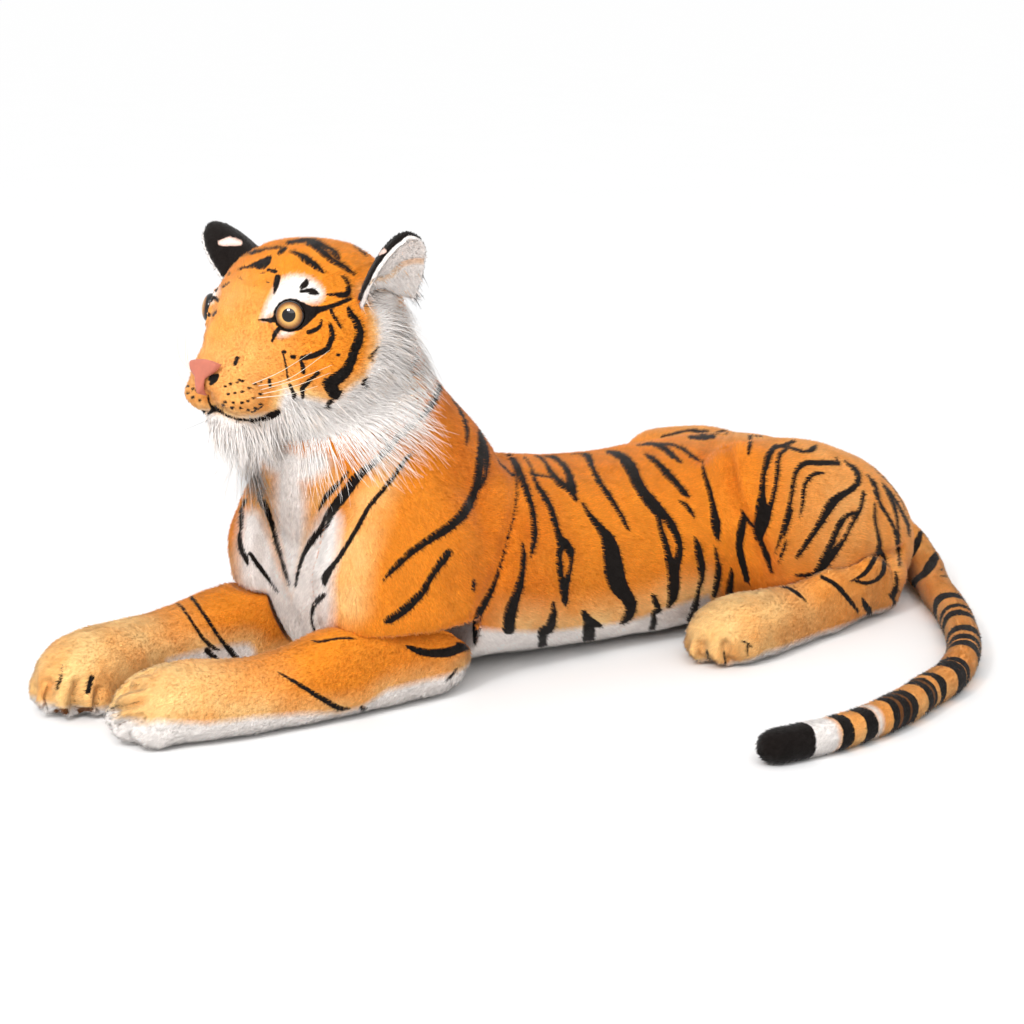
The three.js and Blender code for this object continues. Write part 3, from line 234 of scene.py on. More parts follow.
BIB_STRIPES = [
    [(260, 490, 1), (261, 498, 3), (266, 508, 3), (270, 518, 2.5), (274, 530, 2.5), (278, 544, 2), (282, 558, 1.5),
     (286, 572, 1.5), (290, 584, 0.8)],
    [(250, 553, 1.5), (256, 562, 2), (262, 570, 2), (270, 580, 1.5), (279, 592, 0.6)],
    [(246, 500, 1.5), (243, 508, 1.5), (242, 518, 2), (241, 530, 1.5), (240, 540, 2), (242, 550, 2.5),
     (246, 558, 2.5), (248, 564, 1)],
    [(324, 595, 2.5), (318, 599, 2.5), (314, 606, 2), (312, 616, 1.2), (313, 624, 1.2), (315, 631, 0.8)],
]
BIB_WHITE = [
    [(288, 470, 7), (290, 500, 10), (291, 530, 9), (292, 560, 5), (292, 590, 2)],
    [(252, 520, 5), (256, 550, 13), (262, 580, 18), (272, 610, 22), (282, 635, 20)],
    [(330, 520, 6), (322, 545, 12), (314, 575, 14), (310, 605, 18), (312, 630, 14)],
    [(262, 625, 20), (300, 640, 24)],
    [(268, 452, 6), (284, 462, 10), (300, 468, 10), (318, 462, 6)],
]
BIB_PALE = [
    [(262, 480, 8), (270, 520, 8), (280, 560, 8), (290, 600, 8)],
    [(385, 470, 8), (365, 520, 12), (350, 560, 14), (345, 600, 16)],
    [(325, 480, 8), (305, 530, 8), (298, 570, 6)],
    [(235, 560, 8), (240, 590, 10)],
]
BELLY_EDGE = [(479, 628), (500, 630), (530, 631), (556, 630), (590, 626), (623, 622), (645, 616), (660, 610),
              (685, 602), (709, 595)]
NAPE = [
    (398, 296), (392, 322), (396, 350), (402, 372), (404, 396), (392, 420), (372, 440), (360, 462), (420, 480),
    (500, 460), (500, 300),
]
NAPE_TICKS = [
    [(416, 322, 1.2), (415, 333, 1.8)], [(410, 342, 2.2), (419, 346, 1.8)], [(430, 350, 1.8), (438, 352, 1.2)],
    [(411, 375, 1.2), (421, 372, 1.8)], [(404, 392, 1.2), (414, 390, 1.5)],
]

# The legs and their paws
FORELEG_MARKS = {
    "left": [
        [(406, 646, 1), (414, 649, 3), (424, 652, 4), (436, 653, 4.5), (448, 652, 5), (458, 649, 4.5), (468, 647, 2.5)],
        [(456, 643, 1), (462, 644, 1.5), (470, 647, 1.5)],
        [(313, 641, 0.8), (322, 641.5, 1.5), (334, 639, 1.2), (348, 638, 1.2), (357, 639.5, 0.5)],
        [(278, 672, 0.8), (297, 683, 2), (313, 693, 2.5), (330, 703, 3), (340, 708, 2.5), (350, 708, 1)],
        [(362, 707, 2), (368, 711, 3), (373, 716, 2)],
        [(447, 680, 1), (452, 675, 1.5), (457, 668, 1)],
        [(98, 715, 1.5), (108, 710, 1.5), (120, 705, 0.8)],
        [(102, 687, 1), (108, 683, 1)],
    ],
    "right": [
        [(183, 592, 1.5), (190, 593, 2), (200, 608, 2), (210, 623, 2), (220, 638, 2), (230, 650, 3), (238, 660, 3)],
        [(178, 603, 0.8), (183, 608, 1.5), (193, 623, 1.5), (203, 638, 2), (213, 647, 2), (220, 650, 1)],
        [(207, 650, 3), (217, 660, 3), (223, 667, 3)],
        [(130, 619, 0.8), (143, 613, 0.8)],
        [(62, 675, 1.5), (58, 688, 1.5)],
        [(92, 677, 2.5), (88, 692, 2.5)],
        [(63, 665, 0.6), (62, 673, 0.6)],
        [(43, 715, 1), (47, 722, 1.2), (54, 720, 1)],
        [(57, 716, 1), (63, 726, 1.2), (72, 722, 1)],
        [(78, 714, 1), (85, 727, 1.2), (95, 724, 1)],
    ],
}
FORELEG_WHITE_EDGE = {
    "left": [(100, 712), (135, 718), (160, 720), (207, 723), (253, 717), (307, 713), (340, 712), (360, 707),
             (387, 690), (413, 683), (440, 677), (455, 672)],
    "right": [(40, 703), (75, 706), (100, 708)],
}
FAR_FORELEG_WHITE = [[(170, 662, 3), (207, 657, 8), (245, 653, 10)]]
TOE_PADS = [[(44, 706, 3)], [(58, 710, 3), (66, 711, 3)], [(82, 711, 4), (90, 711, 4)]]
TOE_GROOVES = {
    "foreleg_right": [[(48, 683), (45, 697), (45, 709)], [(77, 683), (75, 700), (75, 712)],
                      [(100, 690), (98, 705), (95, 716)]],
    "foreleg_left": [[(150, 668), (130, 671), (114, 680)], [(140, 684), (120, 689), (106, 700)],
                     [(140, 702), (120, 707), (106, 716)], [(140, 718), (124, 722), (114, 728)]],
    "hind_leg_left": [[(699, 645), (702, 660), (706, 672)], [(726, 645), (728, 655), (733, 668)]],
}
HIND_LEG_MARKS = [
    [(758, 580, 1), (770, 581, 1.2), (782, 580, 1.2), (794, 581, 1)],
    [(760, 581, 0.8), (775, 585, 1.5), (788, 588, 1.5), (797, 593, 2), (806, 601, 1)],
    [(822, 577, 2), (830, 581, 2), (838, 587, 2.5), (847, 597, 2.5), (858, 611, 1.5)],
    [(862, 598, 1), (866, 606, 3), (870, 612, 3), (869, 622, 2.5), (862, 629, 1.5)],
    [(707, 650, 1.2), (709, 657, 1.2), (713, 661, 1)],
    [(724, 650, 1), (726, 665, 1), (728, 668, 0.8)],
    [(742, 641, 1), (748, 643, 1.2), (752, 647, 1)],
    [(747, 645, 1), (748, 655, 1)],
    [(683, 643, 0.8), (684, 657, 0.8)],
]
HIND_LEG_WHITE_EDGE = [(690, 662), (730, 664), (765, 652), (800, 640), (850, 622), (868, 616)]

# The face
HEAD_MARKS = [
    [(287, 243.7, 1.5), (295, 242.5, 2), (300, 241, 3), (304, 238.7, 2)],
    [(303, 240, 3), (312, 245, 3), (320, 251, 3), (328, 257.5, 3), (337, 264, 2.5), (345, 268, 2.5), (354, 275, 0.6)],
    [(307, 240, 1.5), (318, 244, 2), (328, 249, 2), (334, 253, 2.5), (338, 258, 2)],
    [(290, 252, 1), (297, 254, 2), (303, 258, 3.5), (310, 262.5, 3.5), (317, 267.5, 3), (324, 273, 0.6)],
    [(343, 241, 0.8), (350, 243.7, 1), (357, 247.5, 1.5), (363, 252, 1)],
    [(353, 245, 1), (360, 252, 1), (365, 256, 1)],
    [(278, 254, 1), (281, 252, 2.5), (285, 249, 1.5)],
    [(238, 270, 0.5), (247, 267.5, 1), (255, 266, 2.5), (263, 264, 5), (270, 258, 1.5)],
    [(268, 270, 1.5), (276, 271.5, 1.5)],
    [(242, 256, 0.8), (252, 253, 1.5), (263, 251, 1.2)],
    [(265, 250, 0.8), (275, 248.5, 1), (281, 248, 0.8)],
    [(216, 291, 1), (218, 285, 1.2), (222, 279, 1), (230, 274, 0.5)],
    [(222, 288, 0.5), (230, 282.5, 0.5)],
    [(277.5, 278, 3), (276, 285, 2.5), (274, 293, 1)],
    [(301.7, 287.5, 2), (305, 284, 3), (306.7, 280, 1)],
    [(301, 291.7, 1.2), (306.7, 290.8, 2), (312.5, 291.7, 3), (316.7, 293.3, 2)],
    [(341, 276, 0.8), (345, 279, 1.5), (347.5, 285, 2), (348, 291, 2.5), (345, 295, 3),
     (338, 295, 2), (327, 294.7, 0.8)],
    [(308.5, 332.5, 2), (315, 330, 2), (320, 326, 1.5), (321.5, 320, 0.8)],
    [(329, 322, 0.8), (331, 328, 2), (332, 337, 2.5), (330, 343, 2.5), (327, 349, 2.5), (320, 353, 2.5),
     (312, 356, 2.5), (302, 358, 2.5)],
    [(348, 308, 1.5), (351, 315, 3), (355, 320, 3.5), (358, 327, 4), (359, 335, 4.5), (357.5, 343, 4.5),
     (354, 350, 4.5), (352, 358, 4.5), (348, 367, 5), (344, 373, 5.5), (337, 378, 6), (332, 382, 6)],
    [(327, 383, 5), (332, 389, 6.5), (335, 395, 4.5), (341, 391, 1)],
    [(330, 402, 2.5), (325, 407, 1)],
    [(331, 310, 1.5), (334, 317, 1.5), (338, 323, 1.2), (341, 329, 0.6)],
    [(300, 361, 1), (302.5, 365, 2), (303, 372, 2)],
    [(318, 373, 2), (313, 377, 1.5), (308, 382, 2), (303, 387, 2.5), (302.5, 392, 2), (302.5, 398, 0.8)],
    [(290, 385, 1.5), (292, 390, 1.5), (294, 395, 2), (293, 399, 1)],
    [(283, 353, 0.6), (286, 367, 0.8), (288, 380, 0.6)],
    [(283, 352, 1.5), (285, 352, 1.5)], [(292, 357, 1.8), (294, 357, 1.8)], [(337, 355, 1.2), (339, 355, 1.2)],
    [(235, 364, 1.8), (237, 358, 1.8)],
    [(269, 380, 1.5), (270, 387, 1.5)],
    [(378, 347, 0.8), (373, 353, 0.8), (369, 357, 0.8), (372, 361, 0.8)],
    [(367, 377, 0.8), (363, 383, 2), (364, 387, 1)],
]
EYE_LINES = [
    [(259, 320, 0.6), (266, 320, 1.5), (273, 320, 2.5), (276.5, 314, 2), (280, 309, 2), (286, 304.5, 2),
     (294, 303, 2), (301, 304.5, 2.5), (307, 309, 4), (312, 311, 4.5), (320, 309.5, 3), (330, 306.5, 2),
     (340, 303, 2), (350, 299, 1.5)],
    [(278, 318, 1.5), (280, 324, 1.5), (285, 328, 1.5), (292, 329.5, 1.5), (299, 328, 2), (304, 323, 3),
     (309, 317, 4), (313, 313, 4)],
    [(280, 327.5, 2), (275, 334, 2), (272, 341, 1)],
]
FAR_EYE_LINES = [
    [(206, 312, 1), (208, 303, 2), (213, 298, 2), (218, 301, 1.2)],
    [(208, 290, 1), (211, 282, 1.2)],
    [(208, 314, 1.5), (212, 316, 1), (216, 312, 0.8)],
]
MOUTH = [(202, 411.7, 1.2), (210, 412.5, 1.5), (215, 408, 3), (220, 411, 1.5), (228, 416, 1), (238, 419, 1),
         (250, 420, 1.2), (260, 419, 2), (270, 416, 3.5), (277.5, 412.5, 3)]
NOSTRIL = [(209.5, 379.5, 1.4), (213, 377, 2.4), (217.5, 375.5, 1.6), (214.5, 379.5, 2.5), (211, 383.5, 1.6)]
PHILTRUM = [(208, 395, 0.6), (209, 402, 1.0), (213, 409, 1.2)]
WHISKER_SPOTS = [
    (225, 386), (230, 384), (237, 382.5), (239, 380), (242.5, 381), (228, 394), (235, 393), (242, 391.7),
    (249, 388), (255, 384), (260, 381.7), (225, 402), (233, 402.5), (242, 402.5), (248, 401), (253, 398),
    (260, 394), (223, 405), (232, 407.5), (240, 408), (248, 410), (255, 408), (260, 404), (188, 386),
    (193, 388.5), (197, 390), (188, 393), (193, 397), (200, 400), (252, 422), (259, 424), (237, 422),
    (242, 426), (248, 431), (299, 415),
]
BROWN_TICKS = [
    [(258, 274, 0.6), (265, 273, 0.6)], [(252, 286.5, 0.6), (258, 286, 0.6)], [(265, 282, 0.8), (269, 282.5, 0.8)],
    [(238, 277.5, 0.7), (243, 280, 0.7)],
]
EYE_WHITE = [
    [(264, 318, 2), (270, 309, 5), (279, 300, 9), (290, 290, 13), (303, 290, 13), (314, 294, 9)],
    [(280, 335, 1.5), (285, 333, 2.5), (291, 331, 1.5)],
]
FAR_EYE_WHITE = [[(210, 300, 3), (213, 292, 5), (215, 286, 3)]]
CHEEK_WHITE_OUTLINE = [
    (362, 290), (370, 305), (376, 320), (378, 340), (373, 360), (365, 377), (350, 388), (342, 394), (330, 402),
    (310, 398), (300, 395), (285, 388), (280, 400), (278, 412), (268, 419), (240, 421), (222, 414), (212, 411),
    (200, 411), (185, 420), (180, 520), (470, 520), (470, 290),
]
NEAR_WHISKERS = [
    [(258, 386), (290, 378), (330, 350)], [(260, 390), (295, 380), (332, 365)], [(262, 394), (295, 386), (330, 373)],
    [(252, 384), (280, 372), (312, 352)], [(256, 398), (290, 394), (318, 386)],
]

# The ears, and how far each is drawn in towards its root
EAR_SPOTS = {
    "left": [[(379, 253, 2.5), (384, 251, 2.5)], [(221, 241, 3.5), (230, 240, 4), (239, 243, 3)]],
    "right": [[(221, 243, 3), (230, 241.5, 4.5), (240, 243, 2.5)]],
}
# The fold in the ear's lining: pressed in, with painted shade along it
EAR_FOLD = [(370, 283, 0.5), (380, 280, 0.8), (390, 277, 1), (397, 270, 1), (403, 265, 1), (413, 262, 1), (425, 262, 1)]
EAR_RIM = [(379, 257, 2), (388, 247, 2), (397, 237, 2), (412, 233, 1.5)]
EAR_BLACK = [(357, 258), (364, 250), (376, 243), (385, 237), (379, 249), (371, 262), (362, 279), (358, 276)]
EAR_SHRINK = 0.925

# The tail: its rings are counted from the root, and brown fills the gaps between the pairs of rings given
TAIL_STRIPES = [
    [(921, 528, 1.5), (918, 540, 3.5), (912, 552, 4), (902, 565, 4)],
    [(942, 552, 3.5), (936, 556, 4), (930, 566, 5), (924, 574, 3.5), (916, 580, 3), (913, 588, 2.5), (917, 596, 1.5)],
    [(940, 570, 0.8), (950, 567.5, 0.8), (954, 567, 0.8)],
    [(940, 576, 0.8), (952, 577, 1), (960, 581, 1.5), (966, 588, 1.5), (970, 595, 0.8)],
]
TAIL_RINGS = [
    (962, 599, 2.5), (962, 606, 1.2), (964, 613, 2), (966, 627.6, 2.3), (966, 636, 1.5), (966, 643, 2),
    (965, 664, 1.5), (961, 668, 1.5), (955, 669, 1.5), (941, 681, 2.5), (934, 687, 1.2), (927, 689, 2),
    (913, 700, 2.5), (904, 703, 2.5), (894.5, 706, 2.5), (871, 719, 4.5), (849, 731, 4.5),
]
TAIL_BROWN = [(7, 8), (10, 11), (12, 14)]
TAIL_WHITE = [(841, 736), (817, 742)]
TAIL_PALE = [(888, 708), (878, 713)]

# Where filling pushes the cloth out: the pixel, then the height and the width in metres, with a heading or without
MUZZLE_PADS = [((250, 394), 0.0050, 0.022), ((230, 396), 0.0015, 0.015)]
BRIDGE = [((212, 346), 0.0075, 0.020), ((216, 328), 0.0050, 0.024)]
BODY_BULGES = [((740, 460), 0.009, 0.035, UP), ((728, 520), 0.007, 0.04, (0.8, -0.6, 0))]
RUFF_BULGES = [((282, 440), 0.016, 0.030)]
LEG_BULGES = {
    "foreleg_left": [((338, 648), 0.015, 0.034), ((378, 646), 0.012, 0.030)],
    "hind_leg_left": [((876, 588), 0.026, 0.036), ((835, 590), 0.014, 0.032)],
    "hind_leg_right": [],
}

# Folds in the cloth: the line, its half width in pixels and its depth in metres
FACE_FOLDS = [
    ([(262, 345), (272, 360), (280, 380), (281, 400)], 9, 0.0022),
    ([(262, 322), (270, 330), (276, 342)], 7, 0.0026),
    ([(240, 318), (236, 335), (238, 352)], 9, 0.0018),
    ([(222, 371), (228, 378), (228, 390)], 5, 0.0018),
]

# How far back the forward part of the body's pile reaches, in metres
PILE_PARTS_AT = 0.05

# Where the skin is only seen from behind: distance out, height and half width in metres
RUMP_STRIPES = [
    [(0.012, 0.222, 0.002), (0.045, 0.204, 0.0042), (0.072, 0.176, 0.001)],
    [(0.018, 0.184, 0.002), (0.052, 0.160, 0.0042), (0.074, 0.126, 0.001)],
    [(0.084, 0.212, 0.001), (0.104, 0.176, 0.0038), (0.112, 0.132, 0.001)],
    [(0.030, 0.148, 0.001), (0.054, 0.118, 0.0034), (0.060, 0.090, 0.001)],
    [(0.122, 0.180, 0.001), (0.138, 0.145, 0.0034), (0.142, 0.104, 0.001)],
    [(0.088, 0.120, 0.001), (0.104, 0.092, 0.0034), (0.104, 0.062, 0.001)],
]
NAPE_STRIPES = [
    [(0.0, 0.312, 0.0034), (0.046, 0.296, 0.0045), (0.088, 0.262, 0.001)],
    [(0.012, 0.272, 0.002), (0.060, 0.250, 0.0042), (0.098, 0.214, 0.001)],
    [(0.0, 0.240, 0.0030), (0.040, 0.226, 0.0034), (0.070, 0.200, 0.001)],
]
CROWN_STRIPES = [
    [(0.010, 0.462, 0.001), (0.038, 0.450, 0.0042), (0.066, 0.428, 0.001)],
    [(0.0, 0.430, 0.0040), (0.034, 0.420, 0.0042), (0.074, 0.392, 0.001)],
    [(0.012, 0.390, 0.002), (0.046, 0.378, 0.0045), (0.082, 0.350, 0.001)],
    [(0.0, 0.352, 0.0036), (0.040, 0.340, 0.0042), (0.076, 0.312, 0.001)],
]

# Filling between haunch, heel and rump, which keeps the cloth smooth there: its middle and half sizes in metres
HAUNCH_WADS = [((0.106, 0.432, 0.054), (0.046, 0.054, 0.056)), ((0.136, 0.408, 0.044), (0.050, 0.058, 0.036))]


def linear(code):
    """An sRGB hex colour as the linear colour that a shader takes."""
    channels = [int(code[k : k + 2], 16) / 255 for k in (0, 2, 4)]
    return [c / 12.92 if c <= 0.04045 else ((c + 0.055) / 1.055) ** 2.4 for c in channels]


def colour(name, label, code):
    return FloatVectorProperty(
        name=name, description=label, subtype="COLOR", size=3, min=0, max=1, default=linear(code)
    )


def length(name, label, default):
    return FloatProperty(name=name, description=label, unit="LENGTH", subtype="DISTANCE", precision=4, default=default)


class TIGER_PG_shape(bpy.types.PropertyGroup):
    """Mesh widths of the cloth, and how soft its seams are."""

    voxel: length("Body mesh", "Mesh width of the torso's and head's skin", 0.0030)
    leg_voxel: length("Leg mesh", "Mesh width of the legs, tail and ruff", 0.0027)
    ear_voxel: length("Ear mesh", "Mesh width of the ears and the nose", 0.0014)
    inset: length("Inset", "How far the backing cloth lies under the tips of the pile", 0.0022)
    lumps: length("Lumps", "How uneven the stuffing is", 0.0012)
    seam_depth: length("Seam depth", "How deep a sewn seam pulls the cloth in", 0.0045)
    seam_width: length("Seam width", "Half width of the groove along a seam", 0.0080)


class TIGER_PG_pile(bpy.types.PropertyGroup):
    """Lengths and numbers of the pile and the long hair."""

    short: length("Short pile", "Length of the printed pile", 0.0050)
    blade: length("Pile width", "Width of one tuft of pile", 0.0011)
    per_area: FloatProperty(name="Tufts per area", description="Tufts of short pile on a square metre", default=330000)
    long_hair: length("Long hair", "Length of the ruff's hair", 0.058)
    strand: length("Strand width", "Width of one strand of long hair", 0.00062)
    strands: FloatProperty(
        name="Strands per area", description="Strands of long hair on a square metre", default=620000
    )
    seed: IntProperty(name="Seed", description="Seed of everything scattered", default=7)


class TIGER_PG_colours(bpy.types.PropertyGroup):
    """Colours of the pile and the hard pieces."""

    orange: colour("Orange", "The pile's main colour", "EE8E28")
    pale: colour("Pale orange", "Where the print fades towards the belly and paws", "FDCD88")
    # Deep orange is airbrushed along the back and nape, and is painted shade along the seams' creases and the ear
    # linings' fold
    deep: colour("Deep orange", "Airbrushed shade along the back and the folds", "D8701A")
    white: colour("White", "Belly, bib, cheeks and ear linings", "F8F1EC")
    black: colour("Black", "Stripes, ear backs and the tail's tip", "1B1614")
    pad: colour("Pad brown", "Toe pads", "7B4A1E")
    nose: colour("Nose pink", "The nose", "BC6A54")
    iris: colour("Iris", "The eyes' amber ring", "C8954C")
    whisker: colour("Whisker", "Whiskers", "F4E6CF")


class TIGER_PG_stage(bpy.types.PropertyGroup):
    """Light and floor."""

    sun: FloatProperty(name="Sun", description="Strength of the wide soft lamp", default=1.5)
    sun_spread: FloatProperty(
        name="Sun spread", description="How wide the soft lamp looks", subtype="ANGLE", default=math.radians(50)
    )
    sky: FloatProperty(name="Sky", description="Brightness of the white room", default=0.86)
    floor: colour("Floor", "The pale floor", "E9E9E9")


def add(tree, kind, settings=None, **links):
    """Adds a node: its own settings, then values or sockets for its inputs by name."""
    node = tree.nodes.new(kind)
    for name, value in (settings or {}).items():
        setattr(node, name, value)
    for name, value in links.items():
        key = int(name[1:]) if name[0] == "i" and name[1:].isdigit() else name.replace("_", " ")
        socket = node.inputs[key]
        if isinstance(value, bpy.types.NodeSocket):
            tree.links.new(value, socket)
        else:
            socket.default_value = value
    return node


def camera_axes():
    """Where the camera stands, and its forward, right and up directions."""
    a, e = math.radians(CAMERA_AZIMUTH), math.radians(CAMERA_ELEVATION)
    away = Vector((math.sin(a) * math.cos(e), -math.cos(a) * math.cos(e), math.sin(e)))
    right = (-away).cross(UP).normalized()
    return CAMERA_TARGET + away * CAMERA_DISTANCE, -away, right, right.cross(-away)


def sight_line(x, y):
    """The line from the camera through a pixel of the photograph."""
    place, forward, right, up = camera_axes()
    centre = PHOTO_SIDE / 2
    aim = forward + right * (x - centre) / CAMERA_FOCUS - up * (y - centre) / CAMERA_FOCUS
    return place, aim.normalized()


def pixels(points):
    """Where points fall in the photograph."""
    place, forward, right, up = (np.array(v) for v in camera_axes())
    away = points - place
    depth = away @ forward
    centre = PHOTO_SIDE / 2
    return centre + CAMERA_FOCUS * (away @ right) / depth, centre - CAMERA_FOCUS * (away @ up) / depth


def head_matrix():
    """From the head facing straight ahead to the head as it is turned."""
    turn = Matrix.Rotation(HEAD_TURN, 4, TURN_AXIS)
    return Matrix.Translation(TURN_CENTRE) @ turn @ Matrix.Translation(-TURN_CENTRE)


def head_place(out, ahead, rise):
    """A place given from the skull's middle, in metres, on the head as it is turned."""
    return head_matrix() @ Vector((out, -SKULL_AHEAD - ahead, SKULL_RISE + rise))


def head_heading(out, ahead, rise):
    """A direction given on the head facing straight ahead, on the head as it is turned."""
    return head_matrix().to_3x3() @ Vector((out, -ahead, rise))


def from_skull(skin):
    """How far out, ahead and up each point of a skin lies from the skull's middle."""
    back = np.array(head_matrix().inverted())
    spots = skin.co @ back[:3, :3].T + back[:3, 3]
    return spots[:, 0], -spots[:, 1] - SKULL_AHEAD, spots[:, 2] - SKULL_RISE


def above_neck(skin):
    """How far each point of a skin lies above the middle of the plane that the head turns on."""
    return (skin.co - np.array(TURN_CENTRE)) @ np.array(TURN_AXIS)


def at_rim(skin):
    """The points on the cut that parts the head's skin from the torso's."""
    return np.abs(above_neck(skin) - TWIST_ABOVE) < RIM_NEAR


def across_body():
    return Matrix.Diagonal((-1, 1, 1, 1))


def across_head():
    return head_matrix() @ across_body() @ head_matrix().inverted()


def smoothstep(values, low, high):
    share = ((values - low) / (high - low)).clip(0, 1)
    return share * share * (3 - 2 * share)


def spline(line, steps):
    """Points along a smooth curve through a line's points, with its half widths."""
    rows = np.array([p if len(p) == 3 else (*p, 0) for p in line], float)
    if len(rows) < 3:
        return rows
    out = []
    for k in range(len(rows) - 1):
        before, here = rows[max(k - 1, 0)], rows[k]
        there, after = rows[k + 1], rows[min(k + 2, len(rows) - 1)]
        for t in np.arange(steps) / steps:
            bend = 2 * before - 5 * here + 4 * there - after
            turn = 3 * here - before - 3 * there + after
            out.append(0.5 * (2 * here + (there - before) * t + bend * t**2 + turn * t**3))
    out.append(rows[-1])
    return np.array(out)


def vectors(layer, name):
    """A mesh layer's vectors as rows."""
    values = np.empty(len(layer) * 3, np.float32)
    layer.foreach_get(name, values)
    return values.reshape(-1, 3)


class Skin:
    """A skin's points, edges and normals as arrays, for pressing, smoothing and printing."""

    def __init__(self, obj):
        self.obj = obj
        mesh = obj.data
        self.co = vectors(mesh.vertices, "co").astype(float)
        self.edges = np.empty(len(mesh.edges) * 2, np.int32)
        mesh.edges.foreach_get("vertices", self.edges)
        self.edges = self.edges.reshape(-1, 2)
        self.refresh()

    def refresh(self):
        """Writes the points back, then reads the normals again."""
        mesh = self.obj.data
        mesh.vertices.foreach_set("co", self.co.astype(np.float32).ravel())
        mesh.update()
        self.normal = vectors(mesh.vertices, "normal").astype(float)

    def tree(self):
        mesh = self.obj.data
        return BVHTree.FromPolygons([Vector(c) for c in self.co], [tuple(p.vertices) for p in mesh.polygons])

    def smooth(self, steps, share=1.0, pull=0.5):
        """Moves each point towards its neighbours' middle, as far as its share says."""
        a, b = self.edges[:, 0], self.edges[:, 1]
        count = np.bincount(np.concatenate([a, b]), minlength=len(self.co)).clip(1)
        for _ in range(steps):
            for axis in range(3):
                line = self.co[:, axis]
                total = np.bincount(a, line[b], len(line)) + np.bincount(b, line[a], len(line))
                self.co[:, axis] = line + (total / count - line) * pull * share
        self.refresh()

    def swell(self, distance):
        """Moves the skin outwards, by one distance or by one for each point."""
        self.co += self.normal * np.reshape(distance, (-1, 1))
        self.refresh()

    def unevenness(self, wave, seed):
        """Soft random hills of about one wave's length, from -1 to 1."""
        rng = np.random.default_rng(seed)
        total = np.zeros(len(self.co))
        waves = 14
        for _ in range(waves):
            heading = rng.normal(size=3)
            heading *= rng.uniform(0.6, 1.5) * 2 * np.pi / wave / np.linalg.norm(heading)
            total += np.sin(self.co @ heading + rng.uniform(0, 2 * np.pi))
        return total / waves * 2

    def on_floor(self):
        self.co[:, 2] = self.co[:, 2].clip(FLOOR_GAP, None)
        self.refresh()

    def store(self, name, values):
        kind = "FLOAT_VECTOR" if values.ndim == 2 else "FLOAT"
        layers = self.obj.data.attributes
        layer = layers.get(name) or layers.new(name, kind, "POINT")
        layer.data.foreach_set("vector" if values.ndim == 2 else "value", values.astype(np.float32).ravel())


def to_line(spots, rows):
    """Distance from each spot to a line of places and half widths, less the half width there."""
    best = np.full(len(spots), np.inf)
    for here, there in zip(rows[:-1], rows[1:]):
        run = there[:2] - here[:2]
        share = ((spots - here[:2]) @ run / max(run @ run, 1e-12)).clip(0, 1)
        gap = np.linalg.norm(spots - here[:2] - share[:, None] * run, axis=1)
        best = np.minimum(best, gap - here[2] - share * (there[2] - here[2]))
    return best


class Sight:
    """Where a skin's points fall in the photograph, and how squarely each faces the camera."""

    def __init__(self, skin, flip=None):
        co, normal = skin.co, skin.normal
        if flip is not None:
            turn = np.array(flip)
            co = co @ turn[:3, :3].T + turn[:3, 3]
            normal = normal @ turn[:3, :3].T
        self.x, self.y = pixels(co)
        away = co - np.array(camera_axes()[0])
        facing = -(normal * away).sum(1) / np.linalg.norm(away, axis=1)
        self.hidden = 1 - smoothstep(facing, -0.06, 0.10)

    def from_lines(self, lines):
        """Distance in pixels from each point to the nearest line, less the line's half width there."""
        result = np.full(len(self.x), FAR)
        for line in lines:
            rows = spline(line, 4)
            if len(rows) == 1:
                rows = np.repeat(rows, 2, 0)
            wide = FAR + rows[:, 2].max()
            near = ((self.x > rows[:, 0].min() - wide) & (self.x < rows[:, 0].max() + wide)
                    & (self.y > rows[:, 1].min() - wide) & (self.y < rows[:, 1].max() + wide))
            if not near.any():
                continue
            spots = np.stack([self.x[near], self.y[near]], 1)
            result[near] = np.minimum(result[near], to_line(spots, rows))
        return result

    def from_outline(self, outline):
        """Distance in pixels to a closed outline, below zero inside it."""
        inside = np.zeros(len(self.x), bool)
        sides = list(zip(outline, outline[1:] + outline[:1]))
        for (x0, y0), (x1, y1) in sides:
            crosses = (y0 > self.y) != (y1 > self.y)
            inside ^= crosses & (self.x < (x1 - x0) * (self.y - y0) / ((y1 - y0) or 1e-9) + x0)
        edge = self.from_lines([[(x, y, 0) for x, y in side] for side in sides])
        return np.where(inside, -edge, edge)


def printed(skin, lines, flip=None, outline=None):
    """Distance in metres from each point to the printed marks: as traced where the photograph shows
    the skin, and mirrored where it doesn't."""

    def gap_of(sight):
        gap = sight.from_outline(outline) if outline else sight.from_lines(lines)
        return gap + sight.hidden * 2 * FAR

    here = Sight(skin)
    gap = gap_of(here)
    if flip is not None:
        gap = np.minimum(gap, gap_of(Sight(skin, flip)) + (1 - here.hidden) * 2 * FAR)
    return gap.clip(-FAR, FAR) * PIXEL


def from_behind(skin, lines, low, high):
    """Distance in metres from each point to marks that are laid out as seen from behind, by the distance
    out to either side and the height, where the skin faces backwards between two places along it."""
    out, along, height = np.abs(skin.co[:, 0]), skin.co[:, 1], skin.co[:, 2]
    gap = np.full(len(out), UNMARKED)
    spots = np.stack([out, height], 1)
    for line in lines:
        gap = np.minimum(gap, to_line(spots, spline(line, 4)))
    away = (skin.normal[:, 1] < 0.15) | (along < low) | (along > high)
    return np.where(away, UNMARKED, gap)


